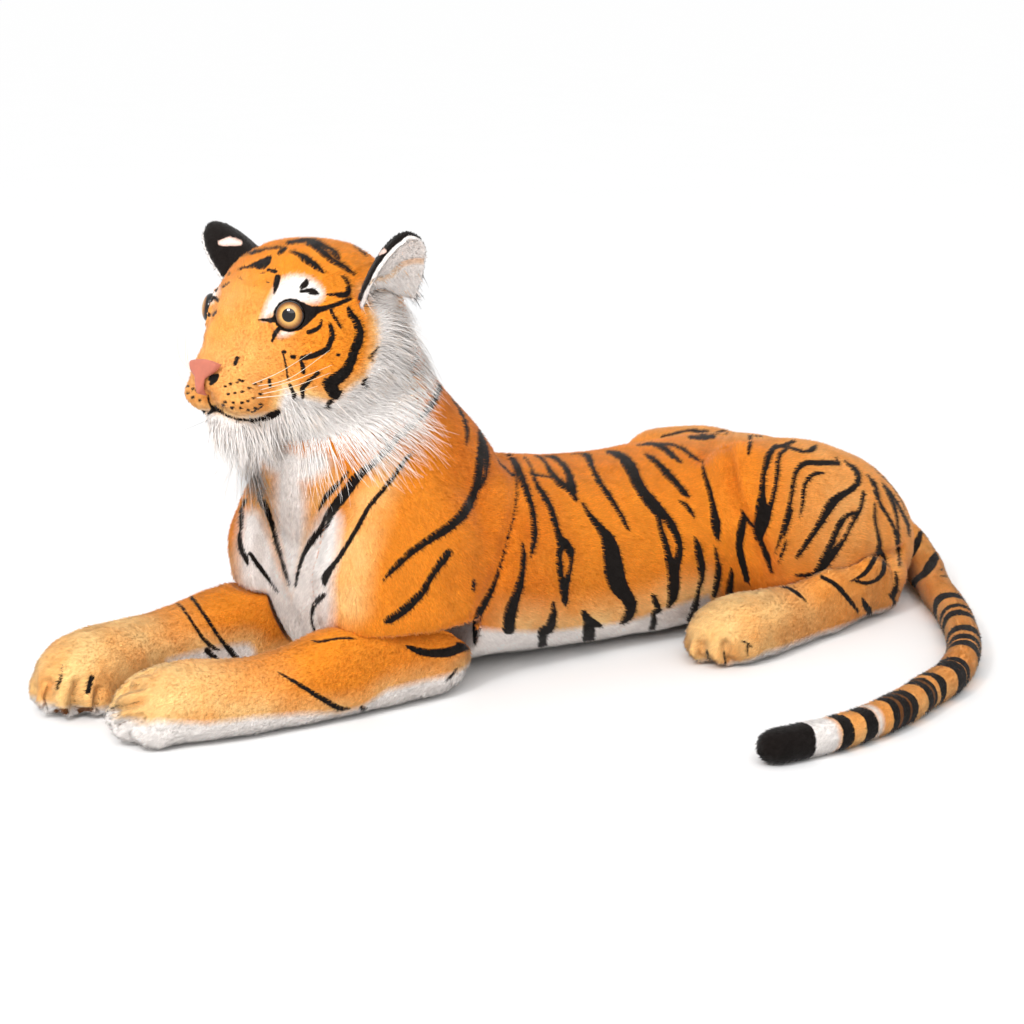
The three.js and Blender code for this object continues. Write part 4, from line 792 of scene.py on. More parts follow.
def bulged(skin, pixel, height, width, flip=None, push=UP):
    """Pushes the skin out round the place that a pixel shows, where stuffing fills it."""
    view = Sight(skin)
    nearest = np.hypot(view.x - pixel[0], view.y - pixel[1]) + view.hidden * PHOTO_SIDE
    spot = Vector(skin.co[nearest.argmin()])
    sides = [(spot, Vector(push))]
    if flip is not None:
        sides.append((flip @ spot, flip.to_3x3() @ Vector(push)))
    for place, way in sides:
        gap = np.linalg.norm(skin.co - np.array(place), axis=1)
        skin.co += np.exp(-((gap / width) ** 2))[:, None] * height * np.array(way)
    skin.refresh()


def pressed(skin, lines, width, depth, flip=None):
    """Presses soft grooves along lines, or raises ridges where the depth is below zero."""
    gap = printed(skin, [[p[:2] for p in line] for line in lines], flip)
    skin.swell(-depth * np.exp(-((gap.clip(0, None) / width) ** 2)) * (gap < UNMARKED * 0.98))


def new_object(name, mesh):
    obj = bpy.data.objects.new(name, mesh)
    bpy.context.scene.collection.objects.link(obj)
    return obj


def mesh_object(name, points, faces):
    mesh = bpy.data.meshes.new(name)
    mesh.from_pydata([tuple(p) for p in points], [], faces)
    return new_object(name, mesh)


def evaluated(obj, name):
    """A plain mesh object of what an object's modifiers make. The old object goes."""
    graph = bpy.context.evaluated_depsgraph_get()
    mesh = bpy.data.meshes.new_from_object(obj.evaluated_get(graph))
    bpy.data.objects.remove(obj)
    return new_object(name, mesh)


def sewn(name, nodes, voxel, wads=()):
    """Copies of CAD nodes, with wads of filling between them, grown together into one even skin."""
    whole = bmesh.new()
    for centre, radii in wads:
        for side in (1, -1):
            spot = Matrix.Translation((side * centre[0], *centre[1:])) @ Matrix.Diagonal((*radii, 1))
            bmesh.ops.create_icosphere(whole, subdivisions=4, radius=1, matrix=spot)
    for node in nodes:
        whole.from_mesh(frame["nodes"][node].data)
    bmesh.ops.remove_doubles(whole, verts=whole.verts, dist=1e-6)
    mesh = bpy.data.meshes.new(name)
    whole.to_mesh(mesh)
    whole.free()
    rough = new_object(name + "_rough", mesh)
    remesh = rough.modifiers.new("Skin", "REMESH")
    remesh.mode = "VOXEL"
    remesh.voxel_size = voxel
    obj = evaluated(rough, name)
    keep_outside(obj)
    return obj


def keep_outside(obj):
    """Keeps the largest of a mesh's separate shells."""
    whole = bmesh.new()
    whole.from_mesh(obj.data)
    left = set(whole.verts)
    shells = []
    while left:
        first = left.pop()
        shell, front = [first], [first]
        while front:
            for edge in front.pop().link_edges:
                for vert in edge.verts:
                    if vert in left:
                        left.discard(vert)
                        shell.append(vert)
                        front.append(vert)
        shells.append(shell)
    shells.sort(key=len)
    bmesh.ops.delete(whole, geom=[v for shell in shells[:-1] for v in shell], context="VERTS")
    whole.to_mesh(obj.data)
    whole.free()


def face_outwards(obj):
    """Turns the faces of a closed mesh so that all of them look out."""
    whole = bmesh.new()
    whole.from_mesh(obj.data)
    bmesh.ops.recalc_face_normals(whole, faces=whole.faces)
    whole.to_mesh(obj.data)
    whole.free()


def cut_off(obj, name, point, normal):
    """Cuts a mesh by a plane and closes the cut. The part on the normal's side becomes a new object."""
    pieces = []
    for keep_above in (True, False):
        half = bmesh.new()
        half.from_mesh(obj.data)
        every = half.verts[:] + half.edges[:] + half.faces[:]
        result = bmesh.ops.bisect_plane(
            half, geom=every, plane_co=point, plane_no=normal,
            clear_outer=not keep_above, clear_inner=keep_above,
        )
        rim = [e for e in result["geom_cut"] if isinstance(e, bmesh.types.BMEdge)]
        bmesh.ops.holes_fill(half, edges=rim, sides=0)
        mesh = bpy.data.meshes.new(name)
        half.to_mesh(mesh)
        half.free()
        pieces.append(mesh)
    obj.data = pieces[1]
    return new_object(name, pieces[0])


def finer(obj):
    """Parts each face in four without changing the shape."""
    name = obj.name
    obj.name = name + "_coarse"
    subdivide = obj.modifiers.new("Finer", "SUBSURF")
    subdivide.subdivision_type = "SIMPLE"
    subdivide.levels = subdivide.render_levels = 1
    return evaluated(obj, name)


def finished(obj, *materials, smooth=True):
    """Gives a piece its materials, and even or faceted shading."""
    obj.data.materials.clear()
    for material in materials:
        obj.data.materials.append(material)
    if smooth:
        obj.data.shade_smooth()
    else:
        obj.data.shade_flat()
    return obj


def combed(skin, flow, lift):
    """Stores which way the pile lies: along the cloth with the flow, lifted from it by an angle."""
    wander = np.stack([skin.unevenness(0.09, k) for k in (3, 4, 5)], 1) * 0.28
    flow = flow / np.linalg.norm(flow, axis=1, keepdims=True).clip(1e-6, None) + wander
    flow = flow - (flow * skin.normal).sum(1, keepdims=True) * skin.normal
    flow = flow / np.linalg.norm(flow, axis=1, keepdims=True).clip(1e-6, None)
    lift = np.reshape(lift, (-1, 1)) if np.ndim(lift) else lift
    skin.store("comb", flow * np.cos(lift) + skin.normal * np.sin(lift))
    skin.store("cloth_normal", skin.normal)


def pile_tree(name, strand):
    """Scatters tufts of pile, or bent strands of long hair, over a skin."""
    found = bpy.data.node_groups.get(name)
    if found:
        return found
    tree = bpy.data.node_groups.new(name, "GeometryNodeTree")
    tree.interface.new_socket("Cloth", in_out="INPUT", socket_type="NodeSocketGeometry")
    for label, kind in (
        ("Per Area", "NodeSocketFloat"), ("Length", "NodeSocketFloat"), ("Width", "NodeSocketFloat"),
        ("Spread", "NodeSocketFloat"), ("Roll", "NodeSocketFloat"), ("Seed", "NodeSocketInt"),
        ("Material", "NodeSocketMaterial"),
    ):
        tree.interface.new_socket(label, in_out="INPUT", socket_type=kind)
    tree.interface.new_socket("Pile", in_out="OUTPUT", socket_type="NodeSocketGeometry")
    given = tree.nodes.new("NodeGroupInput").outputs

    def read(label, kind="FLOAT"):
        return add(tree, "GeometryNodeInputNamedAttribute", {"data_type": kind}, Name=label).outputs["Attribute"]

    def random(kind, low, high, step):
        seed = add(tree, "ShaderNodeMath", {"operation": "ADD"}, i0=given["Seed"], i1=float(step)).outputs[0]
        node = add(tree, "FunctionNodeRandomValue", {"data_type": kind}, Seed=seed)
        shown = [s for s in node.inputs if s.enabled and s.name in ("Min", "Max")]
        shown[0].default_value, shown[1].default_value = low, high
        return next(s for s in node.outputs if s.enabled)

    thick = add(tree, "ShaderNodeMath", {"operation": "MULTIPLY"}, i0=given["Per Area"], i1=read("pile"))
    roots = add(tree, "GeometryNodeDistributePointsOnFaces", Mesh=given["Cloth"], Density=thick.outputs[0],
                Seed=given["Seed"])
    toned = add(tree, "GeometryNodeStoreNamedAttribute", {"data_type": "FLOAT", "domain": "POINT"},
                Geometry=roots.outputs["Points"], Name="tone", Value=random("FLOAT", 0.0, 1.0, 1))

    stray = add(tree, "ShaderNodeVectorMath", {"operation": "SCALE"},
                i0=random("FLOAT_VECTOR", (-1.0, -1.0, -1.0), (1.0, 1.0, 1.0), 2), Scale=given["Spread"])
    lie = add(tree, "ShaderNodeVectorMath", {"operation": "ADD"}, i0=read("comb", "FLOAT_VECTOR"), i1=stray.outputs[0])
    along = add(tree, "FunctionNodeAlignRotationToVector", {"axis": "X"}, Vector=lie.outputs[0])
    level = add(tree, "FunctionNodeAlignRotationToVector", {"axis": "Z", "pivot_axis": "X"},
                Rotation=along.outputs[0], Vector=read("cloth_normal", "FLOAT_VECTOR"))
    turn = add(tree, "ShaderNodeMath", {"operation": "MULTIPLY"}, i0=random("FLOAT", -1.0, 1.0, 3), i1=given["Roll"])
    angles = add(tree, "ShaderNodeCombineXYZ", X=turn.outputs[0])
    roll = add(tree, "FunctionNodeEulerToRotation", Euler=angles.outputs[0])
    turned = add(tree, "FunctionNodeRotateRotation", {"rotation_space": "LOCAL"},
                 Rotation=level.outputs[0], Rotate_By=roll.outputs[0])

    own = add(tree, "ShaderNodeMath", {"operation": "MULTIPLY"}, i0=random("FLOAT", 0.65, 1.2, 4),
              i1=read("hair_length"))
    run = add(tree, "ShaderNodeMath", {"operation": "MULTIPLY"}, i0=own.outputs[0], i1=given["Length"]).outputs[0]
    size = add(tree, "ShaderNodeCombineXYZ", X=run, Y=given["Width"], Z=run)

    if strand:
        sheet = add(tree, "GeometryNodeMeshGrid", Size_X=1.0, Size_Y=1.0, Vertices_X=6, Vertices_Y=2).outputs["Mesh"]
        spot = add(tree, "ShaderNodeSeparateXYZ", Vector=add(tree, "GeometryNodeInputPosition").outputs[0]).outputs
        far = add(tree, "ShaderNodeMath", {"operation": "ADD"}, i0=spot["X"], i1=0.5).outputs[0]
        bend = add(tree, "ShaderNodeMath", {"operation": "POWER"}, i0=far, i1=2.0).outputs[0]
        bend = add(tree, "ShaderNodeMath", {"operation": "MULTIPLY"}, i0=bend, i1=-0.36).outputs[0]
        thin = add(tree, "ShaderNodeMath", {"operation": "MULTIPLY_ADD"}, i0=far, i1=-0.85, i2=1.0).outputs[0]
        side = add(tree, "ShaderNodeMath", {"operation": "MULTIPLY"}, i0=spot["Y"], i1=thin).outputs[0]
        shaped = add(tree, "ShaderNodeCombineXYZ", X=far, Y=side, Z=bend).outputs[0]
        tuft = add(tree, "GeometryNodeSetPosition", Geometry=sheet, Position=shaped).outputs[0]
    else:
        corner = add(tree, "GeometryNodeMeshCircle", {"fill_type": "NGON"}, Vertices=3, Radius=1.0).outputs["Mesh"]
        tuft = add(tree, "GeometryNodeTransform", Geometry=corner, Translation=(1 / 3, 0, 0),
                   Scale=(2 / 3, 1 / math.sqrt(3), 1)).outputs[0]
    set_out = add(tree, "GeometryNodeInstanceOnPoints", Points=toned.outputs[0], Instance=tuft,
                  Rotation=turned.outputs[0], Scale=size.outputs[0])
    real = add(tree, "GeometryNodeRealizeInstances", Geometry=set_out.outputs[0])
    dyed = add(tree, "GeometryNodeSetMaterial", Geometry=real.outputs[0], Material=given["Material"])
    tree.links.new(dyed.outputs[0], tree.nodes.new("NodeGroupOutput").inputs[0])
    return tree


def grown(cloth, name, material, strand=False, per_area=None, run=None, width=None, spread=0.28, roll=math.pi):
    """Grows the pile of a skin as an object of its own, shaded like the cloth under it."""
    settings = bpy.context.scene.tiger_pile
    host = new_object(name + "_host", cloth.data.copy())
    tree = pile_tree("Long hair" if strand else "Short pile", strand)
    grow = host.modifiers.new("Pile", "NODES")
    grow.node_group = tree
    values = {
        "Per Area": per_area or (settings.strands if strand else settings.per_area),
        "Length": run or (settings.long_hair if strand else settings.short),
        "Width": width or (settings.strand if strand else settings.blade),
        "Spread": spread, "Roll": roll, "Seed": settings.seed, "Material": material,
    }
    for socket in tree.interface.items_tree:
        if socket.in_out == "INPUT" and socket.name in values:
            grow[socket.identifier] = values[socket.name]
    obj = evaluated(host, name)
    mesh = obj.data
    co = vectors(mesh.vertices, "co")
    co[:, 2] = co[:, 2].clip(FLOOR_GAP, None)
    mesh.vertices.foreach_set("co", co.ravel())
    finished(obj, material)
    mesh.normals_split_custom_set_from_vertices(vectors(mesh.attributes["cloth_normal"].data, "vector"))
    return obj


def new_material(name):
    """An empty material, its tree, and the object coordinates that its patterns read."""
    material = bpy.data.materials.new(name)
    material.use_nodes = True
    tree = material.node_tree
    tree.nodes.clear()
    return material, tree, add(tree, "ShaderNodeTexCoord").outputs["Object"]


def clouded(tree, place, dye, scale, low, high):
    """A colour that soft noise makes uneven, between low and high times as bright."""
    noise = add(tree, "ShaderNodeTexNoise", Vector=place, Scale=scale, Detail=2.0).outputs["Fac"]
    bright = add(tree, "ShaderNodeMapRange", i0=noise, i1=0.3, i2=0.7, i3=low, i4=high).outputs[0]
    return add(tree, "ShaderNodeVectorMath", {"operation": "SCALE"}, i0=dye, Scale=bright).outputs[0]


def cloth_facing(tree):
    """The way that the cloth under a tuft or strand faces, whichever of the tuft's two sides is seen."""
    face = add(tree, "ShaderNodeNewGeometry").outputs
    sign = add(tree, "ShaderNodeMath", {"operation": "MULTIPLY_ADD"}, i0=face["Backfacing"], i1=-2.0, i2=1.0)
    cloth = add(tree, "ShaderNodeVectorMath", {"operation": "SCALE"}, i0=face["Normal"], Scale=sign.outputs[0])
    return cloth.outputs[0]


def plush_material(pile):
    """Printed plush: short dense polyester pile, airbrushed, soft and matt. The tufts carry the print as
    the cloth under them does and are a little lighter than it, since the cloth gets painted shade at the pile's foot.
    Patches of the tufts are painted lighter or darker as painted sheen, and the tufts have a low sheen where they turn
    away."""
    name = "Polyester pile tufts" if pile else "Printed polyester plush"
    found = bpy.data.materials.get(name)
    if found:
        return found
    colours = bpy.context.scene.tiger_colours
    material, tree, place = new_material(name)

    def layer(label):
        return add(tree, "ShaderNodeAttribute", {"attribute_name": label}).outputs["Fac"]

    def blended(under, over, amount):
        node = add(tree, "ShaderNodeMix", {"data_type": "RGBA"}, i0=amount)
        for key, value in ((6, under), (7, over)):
            if isinstance(value, bpy.types.NodeSocket):
                tree.links.new(value, node.inputs[key])
            else:
                node.inputs[key].default_value = [*value, 1]
        return node.outputs[2]

    def within(label, wobble, soft):
        gap = add(tree, "ShaderNodeMath", {"operation": "ADD"}, i0=layer(label), i1=wobble).outputs[0]
        return add(tree, "ShaderNodeMapRange", i0=gap, i1=soft, i2=-soft, i3=0.0, i4=1.0).outputs[0]

    # Tufts part along the print's edge in clumps of about 4 mm, and single fibres at 1 mm
    clumps = add(tree, "ShaderNodeTexNoise", Vector=place, Scale=240.0, Detail=4.0, Roughness=0.65)
    jagged = add(tree, "ShaderNodeMath", {"operation": "MULTIPLY_ADD"}, i0=clumps.outputs["Fac"], i1=0.0030, i2=-0.0015)
    jagged = jagged.outputs[0]
    # The airbrush leaves soft clouds of 50 mm
    clouds = add(tree, "ShaderNodeTexNoise", Vector=place, Scale=19.0, Detail=3.0, Roughness=0.55).outputs["Fac"]
    cloudy = add(tree, "ShaderNodeMapRange", i0=clouds, i1=0.3, i2=0.7, i3=0.45, i4=1.25).outputs[0]

    def sprayed_and_shaded(label):
        amount = add(tree, "ShaderNodeMath", {"operation": "MULTIPLY", "use_clamp": True}, i0=layer(label), i1=cloudy)
        return amount.outputs[0]

    # Deep orange: airbrushed along the back and nape, and painted shade in the seams' creases and the ear linings' fold
    base = blended(colours.orange, colours.deep, sprayed_and_shaded("deep"))
    base = blended(base, colours.pale, sprayed_and_shaded("pale"))
    base = blended(base, colours.white, within("white", jagged, 0.0045))
    base = blended(base, colours.pad, within("pad", jagged, 0.0008))
    base = blended(base, colours.black, within("black", jagged, 0.0006))
    if pile:
        bright = add(tree, "ShaderNodeMapRange", i0=layer("tone"), i1=0.0, i2=1.0, i3=0.92, i4=1.16).outputs[0]
        # Painted sheen: hands leave the pile brushed this way and that, in patches of 20 mm, each painted lighter or
        # darker as its fibres would catch the light
        painted_brushed_sheen = add(tree, "ShaderNodeTexNoise", Vector=place, Scale=48.0, Detail=4.0, Roughness=0.6)
        painted_brushed_sheen = add(tree, "ShaderNodeMapRange", i0=painted_brushed_sheen.outputs["Fac"], i1=0.32, i2=0.68, i3=0.88, i4=1.13)
        painted_brushed_sheen = painted_brushed_sheen.outputs[0]
        bright = add(tree, "ShaderNodeMath", {"operation": "MULTIPLY"}, i0=bright, i1=painted_brushed_sheen).outputs[0]
    else:
        # Faint grain on the cloth under the tufts, and painted shade: the cloth is painted darker than the tufts that
        # stand over it
        nap = add(tree, "ShaderNodeTexNoise", Vector=place, Scale=700.0, Detail=2.0).outputs["Fac"]
        bright = add(tree, "ShaderNodeMapRange", i0=nap, i1=0.3, i2=0.7, i3=0.84, i4=1.0).outputs[0]
    base = add(tree, "ShaderNodeVectorMath", {"operation": "SCALE"}, i0=base, Scale=bright).outputs[0]
    shader = add(tree, "ShaderNodeBsdfPrincipled", Base_Color=base, Roughness=0.92, Specular_IOR_Level=0.12,
                 Sheen_Weight=0.16, Sheen_Roughness=0.45)
    if pile:
        tree.links.new(cloth_facing(tree), shader.inputs["Normal"])
    else:
        nubs = add(tree, "ShaderNodeTexNoise", Vector=place, Scale=620.0, Detail=3.0).outputs["Fac"]
        bump = add(tree, "ShaderNodeBump", Strength=0.5, Distance=0.0014, Height=nubs)
        tree.links.new(bump.outputs[0], shader.inputs["Normal"])
    add(tree, "ShaderNodeOutputMaterial", Surface=shader.outputs[0])
    return material


def hair_material():
    """Long straight polyester hair: white with cream and tan strands, a soft gloss along each strand."""
    found = bpy.data.materials.get("Long polyester hair")
    if found:
        return found
    colours = bpy.context.scene.tiger_colours
    material, tree, place = new_material("Long polyester hair")
    tone = add(tree, "ShaderNodeAttribute", {"attribute_name": "tone"}).outputs["Fac"]
    tan = add(tree, "ShaderNodeAttribute", {"attribute_name": "tan"}).outputs["Fac"]
    clump = add(tree, "ShaderNodeTexNoise", Vector=place, Scale=60.0, Detail=2.0).outputs["Fac"]
    odd = add(tree, "ShaderNodeMath", {"operation": "MULTIPLY_ADD"}, i0=tone, i1=0.6, i2=clump).outputs[0]
    odd = add(tree, "ShaderNodeMapRange", i0=odd, i1=0.95, i2=1.15, i3=0.0, i4=1.0).outputs[0]
    share = add(tree, "ShaderNodeMath", {"operation": "MULTIPLY", "use_clamp": True}, i0=odd, i1=tan).outputs[0]
    dye = add(tree, "ShaderNodeMix", {"data_type": "RGBA"}, i0=share)
    dye.inputs[6].default_value = [*colours.white, 1]
    dye.inputs[7].default_value = [*linear("E2B27C"), 1]
    bright = add(tree, "ShaderNodeMapRange", i0=tone, i1=0.0, i2=1.0, i3=0.94, i4=1.10).outputs[0]
    base = add(tree, "ShaderNodeVectorMath", {"operation": "SCALE"}, i0=dye.outputs[2], Scale=bright).outputs[0]
    shader = add(tree, "ShaderNodeBsdfPrincipled", Base_Color=base, Roughness=0.6, Specular_IOR_Level=0.3,
                 Sheen_Weight=0.1, Normal=cloth_facing(tree))
    add(tree, "ShaderNodeOutputMaterial", Surface=shader.outputs[0])
    return material


def eye_material():
    """Moulded acrylic safety eye: an amber ring painted on the back of a clear glossy dome."""
    colours = bpy.context.scene.tiger_colours
    material, tree, _ = new_material("Clear acrylic eye dome")
    out = add(tree, "ShaderNodeAttribute", {"attribute_name": "out"}).outputs["Fac"]
    ray = add(tree, "ShaderNodeAttribute", {"attribute_name": "ray"}).outputs["Vector"]
    streaks = add(tree, "ShaderNodeTexNoise", Vector=ray, Scale=9.0, Detail=4.0, Roughness=0.7).outputs["Fac"]
    ring = add(tree, "ShaderNodeMath", {"operation": "MULTIPLY_ADD"}, i0=streaks, i1=0.22, i2=out).outputs[0]
    ramp = add(tree, "ShaderNodeValToRGB", Fac=ring)
    stops = ramp.color_ramp.elements
    stops[0].position, stops[0].color = 0.46, [*linear("DDB068"), 1]
    stops[1].position, stops[1].color = 0.92, [*linear("7A4A1C"), 1]
    middle = stops.new(0.70)
    middle.color = [*colours.iris, 1]
    pupil = add(tree, "ShaderNodeMapRange", i0=out, i1=0.45, i2=0.48, i3=1.0, i4=0.0).outputs[0]
    rim = add(tree, "ShaderNodeMapRange", i0=out, i1=0.86, i2=0.90, i3=0.0, i4=1.0).outputs[0]
    dark = add(tree, "ShaderNodeMath", {"operation": "MAXIMUM"}, i0=pupil, i1=rim).outputs[0]
    painted = add(tree, "ShaderNodeMix", {"data_type": "RGBA"}, i0=dark, i6=ramp.outputs[0])
    painted.inputs[7].default_value = [*linear("0B0807"), 1]
    shader = add(tree, "ShaderNodeBsdfPrincipled", Base_Color=painted.outputs[2], Roughness=0.03, IOR=1.49,
                 Specular_IOR_Level=0.5)
    add(tree, "ShaderNodeOutputMaterial", Surface=shader.outputs[0])
    return material


def nose_material():
    """Pink flocked vinyl: moulded, matt and faintly grained, dark inside the nostrils."""
    colours = bpy.context.scene.tiger_colours
    material, tree, place = new_material("Pink flocked vinyl")
    grain = add(tree, "ShaderNodeTexNoise", Vector=place, Scale=1400.0, Detail=2.0).outputs["Fac"]
    pink = clouded(tree, place, tuple(colours.nose), 90.0, 0.90, 1.05)
    gap = add(tree, "ShaderNodeAttribute", {"attribute_name": "black"}).outputs["Fac"]
    dark = add(tree, "ShaderNodeMapRange", i0=gap, i1=0.0010, i2=-0.0008, i3=0.0, i4=1.0).outputs[0]
    painted = add(tree, "ShaderNodeMix", {"data_type": "RGBA"}, i0=dark, i6=pink)
    painted.inputs[7].default_value = [*linear("5A2A20"), 1]
    bump = add(tree, "ShaderNodeBump", Strength=0.25, Distance=0.0004, Height=grain)
    shader = add(tree, "ShaderNodeBsdfPrincipled", Base_Color=painted.outputs[2], Roughness=0.6,
                 Specular_IOR_Level=0.35, Sheen_Weight=0.1, Normal=bump.outputs[0])
    add(tree, "ShaderNodeOutputMaterial", Surface=shader.outputs[0])
    return material


def washer_material():
    """Milky polyethylene: the locking washer pressed on an eye's shank, waxy and faintly clouded."""
    name = "Milky polyethylene"
    found = bpy.data.materials.get(name)
    if found:
        return found
    material, tree, place = new_material(name)
    base = clouded(tree, place, tuple(linear("E4E2DA")), 180.0, 0.92, 1.0)
    shader = add(tree, "ShaderNodeBsdfPrincipled", Base_Color=base, Roughness=0.4, Specular_IOR_Level=0.4)
    add(tree, "ShaderNodeOutputMaterial", Surface=shader.outputs[0])
    return material


def whisker_material():
    """Nylon monofilament: cream, smooth, a thin bright line along it."""
    colours = bpy.context.scene.tiger_colours
    material, tree, place = new_material("Cream nylon filament")
    cream = clouded(tree, place, tuple(colours.whisker), 120.0, 0.92, 1.05)
    shader = add(tree, "ShaderNodeBsdfPrincipled", Base_Color=cream, Roughness=0.35)
    add(tree, "ShaderNodeOutputMaterial", Surface=shader.outputs[0])
    return material


def dyed(skin, black=None, white=None, pad=None, pale=0.0, deep=0.0, pile=1.0, hair_length=1.0, tan=0.0):
    """Stores the print, with the painted shade that deep orange carries in places, and the pile's thickness and length
    on a skin.
    """
    blank = np.ones(len(skin.co))
    for name, values in (("black", black), ("white", white), ("pad", pad)):
        skin.store(name, blank * (UNMARKED if values is None else values))
    shares = {"pale": pale, "deep": deep, "pile": pile, "hair_length": hair_length, "tan": tan}
    for name, values in shares.items():
        skin.store(name, blank * values)


class TIGER_OT_stage(bpy.types.Operator):
    """Makes the floor, the light and the camera"""

    bl_idname = "tiger.stage"
    bl_label = "Stage"

    # Half the floor's width in metres, so far out that its edge never shows
    half = 70.0
    sun_heading = Vector((-0.62, 0.52, -0.95))
    # A small window beside the camera, which puts a glint in the near eye
    window_size = 0.34
    window_watts = 24
    window_from_camera = Vector((-0.9, -0.5, 1.1))
    near_eye = (0.08, 0.08, 0.03)

    def execute(self, context):
        settings = context.scene.tiger_stage
        self.floor(settings)
        self.room(context, settings)
        place, forward, _, _ = camera_axes()
        self.lamps(context, settings, place)
        self.camera(context, place, forward)
        context.scene.view_settings.view_transform = "Standard"
        return {"FINISHED"}

    def floor(self, settings):
        corners = [(x * self.half, y * self.half, 0) for x, y in ((-1, -1), (1, -1), (1, 1), (-1, 1))]
        floor = mesh_object("floor", corners, [(0, 1, 2, 3)])
        material, tree, place = new_material("Matt white paper sweep")
        paper = clouded(tree, place, tuple(settings.floor), 3.0, 0.995, 1.0)
        shader = add(tree, "ShaderNodeBsdfPrincipled", Base_Color=paper, Roughness=0.95, Specular_IOR_Level=0.0)
        add(tree, "ShaderNodeOutputMaterial", Surface=shader.outputs[0])
        finished(floor, material, smooth=False)

    def room(self, context, settings):
        """A white room, as bright as the sky setting, that the camera and gloss see as plain white."""
        world = bpy.data.worlds.new("White room")
        context.scene.world = world
        world.use_nodes = True
        tree = world.node_tree
        tree.nodes.clear()
        path = add(tree, "ShaderNodeLightPath").outputs
        shown = path["Is Camera Ray"]
        for ray in ("Is Glossy Ray", "Is Transmission Ray"):
            shown = add(tree, "ShaderNodeMath", {"operation": "MAXIMUM"}, i0=shown, i1=path[ray]).outputs[0]
        strength = add(tree, "ShaderNodeMix", {"data_type": "FLOAT"}, Factor=shown, A=settings.sky, B=1.0)
        room = add(tree, "ShaderNodeBackground", Color=(1, 1, 1, 1), Strength=strength.outputs[0])
        add(tree, "ShaderNodeOutputWorld", Surface=room.outputs[0])

    def lamps(self, context, settings, place):
        light = bpy.data.lights.new("wide_lamp", "SUN")
        light.energy = settings.sun
        light.angle = settings.sun_spread
        lamp = bpy.data.objects.new("wide_lamp", light)
        lamp.rotation_euler = self.sun_heading.to_track_quat("-Z", "Y").to_euler()
        context.scene.collection.objects.link(lamp)

        glint = bpy.data.lights.new("window_lamp", "AREA")
        glint.shape = "SQUARE"
        glint.size = self.window_size
        glint.energy = self.window_watts
        window = bpy.data.objects.new("window_lamp", glint)
        window.location = place + self.window_from_camera
        window.rotation_euler = (head_place(*self.near_eye) - window.location).to_track_quat("-Z", "Y").to_euler()
        context.scene.collection.objects.link(window)

    def camera(self, context, place, forward):
        data = bpy.data.cameras.new("camera")
        data.sensor_width = SENSOR
        data.lens = CAMERA_FOCUS * SENSOR / PHOTO_SIDE
        data.clip_end = 300
        camera = bpy.data.objects.new("camera", data)
        camera.location = place
        camera.rotation_mode = "QUATERNION"
        camera.rotation_quaternion = forward.to_track_quat("-Z", "Y")
        context.scene.collection.objects.link(camera)
        context.scene.camera = camera


